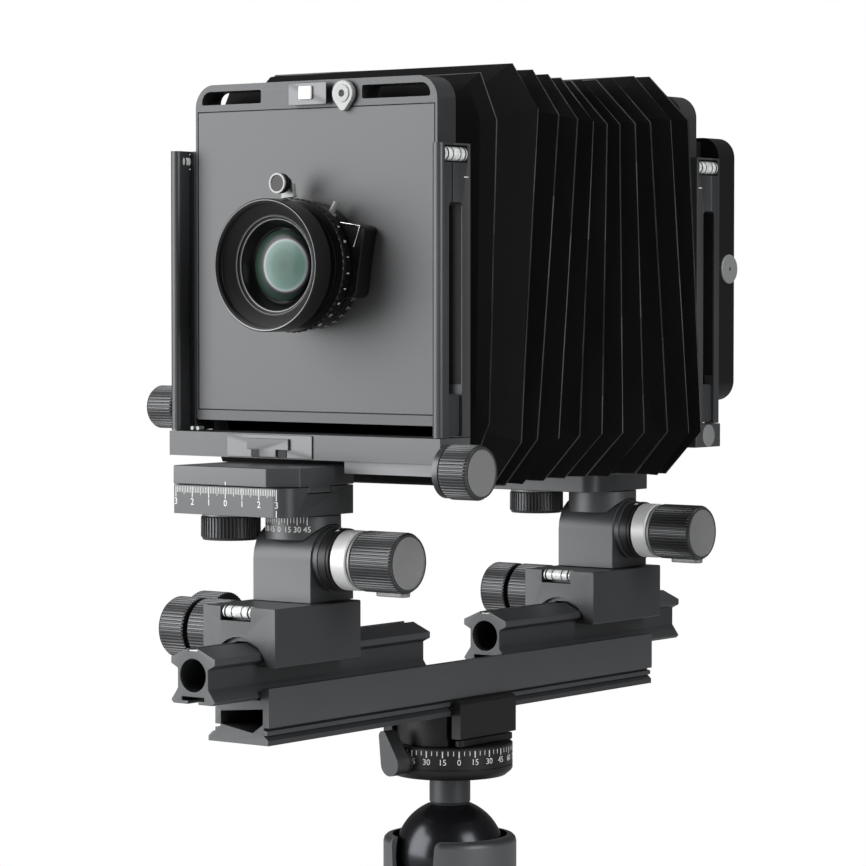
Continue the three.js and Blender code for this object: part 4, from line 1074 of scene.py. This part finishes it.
def bellows_section(half, bottom, top, cut_x, inset):
    """A ring of (x, z) round the bellows: an octagon with long cut corners, drawn in by the inset."""
    x = half - inset
    high = top - inset * 0.8
    low = bottom + inset * 0.8
    cut_x -= inset * 0.45
    cut_z = CUT_HEIGHT - inset * 0.9
    corners = [(x, low + cut_z), (x, high - cut_z), (x - cut_x, high), (-x + cut_x, high), (-x, high - cut_z),
               (-x, low + cut_z), (-x + cut_x, low), (x - cut_x, low)]
    ring = []
    for i, (a, b) in enumerate(zip(corners, corners[1:] + corners[:1])):
        count = 3 if i % 2 else 8
        ring += [(a[0] + (b[0] - a[0]) * k / count, a[1] + (b[1] - a[1]) * k / count) for k in range(count)]
    return ring


def between(a, b, share):
    return tuple(p + (q - p) * share for p, q in zip(a, b))


def bellows_stations(front, rear):
    """Rows of (pleat values, inset, is a ridge line) from the front frame to the rear one."""
    first = (front, front, 6.0, 3.0, 10.0, 9.0)
    last = (rear, rear, -1.5, 0.4, 22.0, 0.0)
    aside = (RIDGE_HALF, RIDGE_HALF, 0, 0, 0, 0)
    stations = [(first, END_DEPTH, False), (between(first, PLEATS[0], 0.25), 15, False),
                (between(first, PLEATS[0], 0.6), 5.5, False)]
    for i, pleat in enumerate(PLEATS):
        stations.append((tuple(v - e for v, e in zip(pleat, aside)), RIDGE_CROWN, False))
        stations.append((pleat, 0.0, True))
        stations.append((tuple(v + e for v, e in zip(pleat, aside)), RIDGE_CROWN, True))
        if i + 1 < len(PLEATS):
            fold, depth = (SHARP_FOLD, FOLD_DEPTH) if i else (SOFT_FOLD, SOFT_DEPTH)
            stations += [(between(pleat, PLEATS[i + 1], share), depth * part, False) for share, part in fold]
    stations += [(between(PLEATS[-1], last, 0.5), 12, False), (last, END_DEPTH, False)]
    return stations


def bellows_rings():
    """Rings of points from the front frame to the rear one, each with a flag for a ridge line."""
    low, high = box("bellows_06")
    slack = 0.4
    half = high.x - slack
    bottom, top = low.z + slack, high.z - slack
    front = box("bellows_11")[0].y + 0.1
    rear = box("bellows_01")[1].y - 0.1
    side_top, side_bottom = top - CUT_HEIGHT, bottom + CUT_HEIGHT
    stations = bellows_stations(front, rear)
    rings = []
    for n, ((y_top, y_bottom, sag, narrower, cut_x, lift), inset, ridge) in enumerate(stations):
        held = n in (0, len(stations) - 1)
        wrinkle = 0 if held else 0.35 if ridge else 1.2
        points = []
        for x, z in bellows_section(half - narrower, bottom + lift, top - sag, cut_x, inset):
            share = min(1.15, max(-0.15, (z - side_bottom) / (side_top - side_bottom)))
            soft = noise.noise(Vector((x * 0.02, n * 0.7, z * 0.02))) * wrinkle
            y = min(rear, max(front, y_bottom + (y_top - y_bottom) * share + soft * 0.5))
            pull = 1 - 0.01 * soft
            points.append((x * pull, y, BOARD_Z + (z - BOARD_Z) * pull))
        rings.append((points, ridge))
    return rings


def bellows_skin(boundaries):
    """The whole skin of pleats, with a line of edges at each boundary."""
    rings = bellows_rings()
    count = len(rings[0][0])
    skin = bmesh.new()
    made = [skin.verts.new(Vector(p) * MM) for points, _ in rings for p in points]
    for r in range(len(rings) - 1):
        for k in range(count):
            a, b = r * count + k, r * count + (k + 1) % count
            face = skin.faces.new((made[a], made[b], made[b + count], made[a + count]))
            # Faces beside a ridge line take the lighter ridge material, a painted highlight.
            face.material_index = int(rings[r + 1][1])
    bmesh.ops.recalc_face_normals(skin, faces=skin.faces)
    for y in boundaries[1:-1]:
        geometry = skin.verts[:] + skin.edges[:] + skin.faces[:]
        bmesh.ops.bisect_plane(skin, geom=geometry, dist=1e-7, plane_co=(0, y * MM, 0), plane_no=(0, 1, 0))
    return skin


def bellows():
    """One skin of pleats, cut where one link of the chain takes over from the next."""
    links = [f"bellows_{i:02d}" for i in range(1, 12)]
    boundaries = link_boundaries(links)
    skin = bellows_skin(boundaries)
    owners = ["rear_frame"] + links
    for i, (start, end) in enumerate(zip(boundaries, boundaries[1:])):
        part = skin.copy()
        others = [f for f in part.faces if not end <= f.calc_center_median().y / MM <= start]
        bmesh.ops.delete(part, geom=others, context="FACES")
        mesh = bpy.data.meshes.new(f"bellows_pleats_{i + 1:02d}")
        part.to_mesh(mesh)
        part.free()
        obj = bpy.data.objects.new(mesh.name, mesh)
        bpy.context.scene.collection.objects.link(obj)
        mesh.materials.append(MATERIALS["cloth"])
        mesh.materials.append(MATERIALS["cloth_ridge_highlight"])
        thick = obj.modifiers.new("cloth", "SOLIDIFY")
        thick.thickness = CLOTH_THICKNESS * MM
        thick.offset = -1
        applied(obj)
        obj.data.shade_smooth()
        obj.data.set_sharp_from_angle(angle=math.radians(16))
        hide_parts(links[i])
        near = (owners[i], (0, start * MM, BOARD_Z * MM))
        far = (owners[i + 1], (0, end * MM, BOARD_Z * MM))
        if links[i] in BENT_FROM_FAR_END:
            near, far = far, near
        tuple(near[1])
        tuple(far[1])
        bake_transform(obj)
    skin.free()


def link_boundaries(links):
    """Where each link hands over to the next. The stand-in rings meet halfway between two boundaries."""
    gap = 0.15
    boundaries = [box(links[0])[1].y + gap]
    fixed = {row["child"]: row["deforming_nodes"][0]["fixed_end_y_m"] / MM
             for row in frame["joints"] if row["child"] in links}
    boundaries += [fixed[link] for link in links[1:]]
    boundaries.append(box(links[-1])[0].y - gap)
    return boundaries


# ---------- the whole object ----------

ball_head()
quick_clamp()
rails()
knobs()
for end in ENDS:
    standard_foot(end)
    standard_top(end)
formats()
lens()
back()
bellows()


# ---------- stage, light and camera ----------

def seen_apart(tree, hidden, seen, out):
    """Gives the camera one shader and every other ray another."""
    path = shader_node(tree.nodes, "LightPath")
    mix = shader_node(tree.nodes, "MixShader")
    tree.links.new(path.outputs["Is Camera Ray"], mix.inputs["Fac"])
    tree.links.new(hidden.outputs[0], mix.inputs[1])
    tree.links.new(seen.outputs[0], mix.inputs[2])
    tree.links.new(mix.outputs[0], out.inputs["Surface"])


def stage():
    mesh = bpy.data.meshes.new("floor")
    reach = 12.0
    mesh.from_pydata([(x, y, -0.0005) for x, y in oblong(-reach, reach, -reach, reach)], [], [(0, 1, 2, 3)])
    floor = bpy.data.objects.new("floor", mesh)
    bpy.context.scene.collection.objects.link(floor)
    material = bpy.data.materials.new("pale_floor")
    material.use_nodes = True
    nodes = material.node_tree.nodes
    white = (1, 1, 1, 1)
    shader = nodes["Principled BSDF"]
    shader.inputs["Base Color"].default_value = (0.55, 0.55, 0.55, 1)
    shader.inputs["Roughness"].default_value = 0.9
    seen_apart(material.node_tree, shader, shader_node(nodes, "Emission", Color=white),
               nodes["Material Output"])
    mesh.materials.append(material)

    world = bpy.context.scene.world or bpy.data.worlds.new("studio")
    bpy.context.scene.world = world
    world.use_nodes = True
    nodes = world.node_tree.nodes
    nodes.clear()
    hidden = shader_node(nodes, "Background", Color=white, Strength=0.11)
    seen = shader_node(nodes, "Background", Color=white, Strength=1.0)
    seen_apart(world.node_tree, hidden, seen, shader_node(nodes, "OutputWorld"))


def softbox(name, direction, distance, size, watts):
    """A lamp in a direction from a point over the floor, turned towards it."""
    light = bpy.data.lights.new(name, "AREA")
    light.shape = "RECTANGLE"
    light.size, light.size_y = size
    light.energy = watts
    lamp = bpy.data.objects.new(name, light)
    bpy.context.scene.collection.objects.link(lamp)
    aim = Vector(direction).normalized()
    lamp.location = Vector((0, 0, 0.3)) + aim * distance
    lamp.rotation_euler = (-aim).to_track_quat("-Z", "Y").to_euler()


def camera():
    data = bpy.data.cameras.new("camera")
    data.sensor_width = 36
    data.lens = 140.785
    view = bpy.data.objects.new("camera", data)
    bpy.context.scene.collection.objects.link(view)
    heading = math.radians(36.993)
    pitch = math.radians(2.343)
    view.location = (0.992453, -1.331213, 0.33912)
    ahead = Vector((-math.sin(heading) * math.cos(pitch), math.cos(heading) * math.cos(pitch),
                    -math.sin(pitch)))
    view.rotation_euler = ahead.to_track_quat("-Z", "Y").to_euler()
    bpy.context.scene.camera = view


stage()
softbox("key", (-0.6, -0.8, 0.25), 1.6, (1.3, 1.6), 42)
softbox("side", (1.0, -0.1, 0.35), 1.8, (0.8, 1.3), 20)
softbox("top", (0.1, 0.2, 1.0), 1.6, (1.2, 1.2), 7)
camera()
bpy.context.scene.view_settings.view_transform = "Standard"
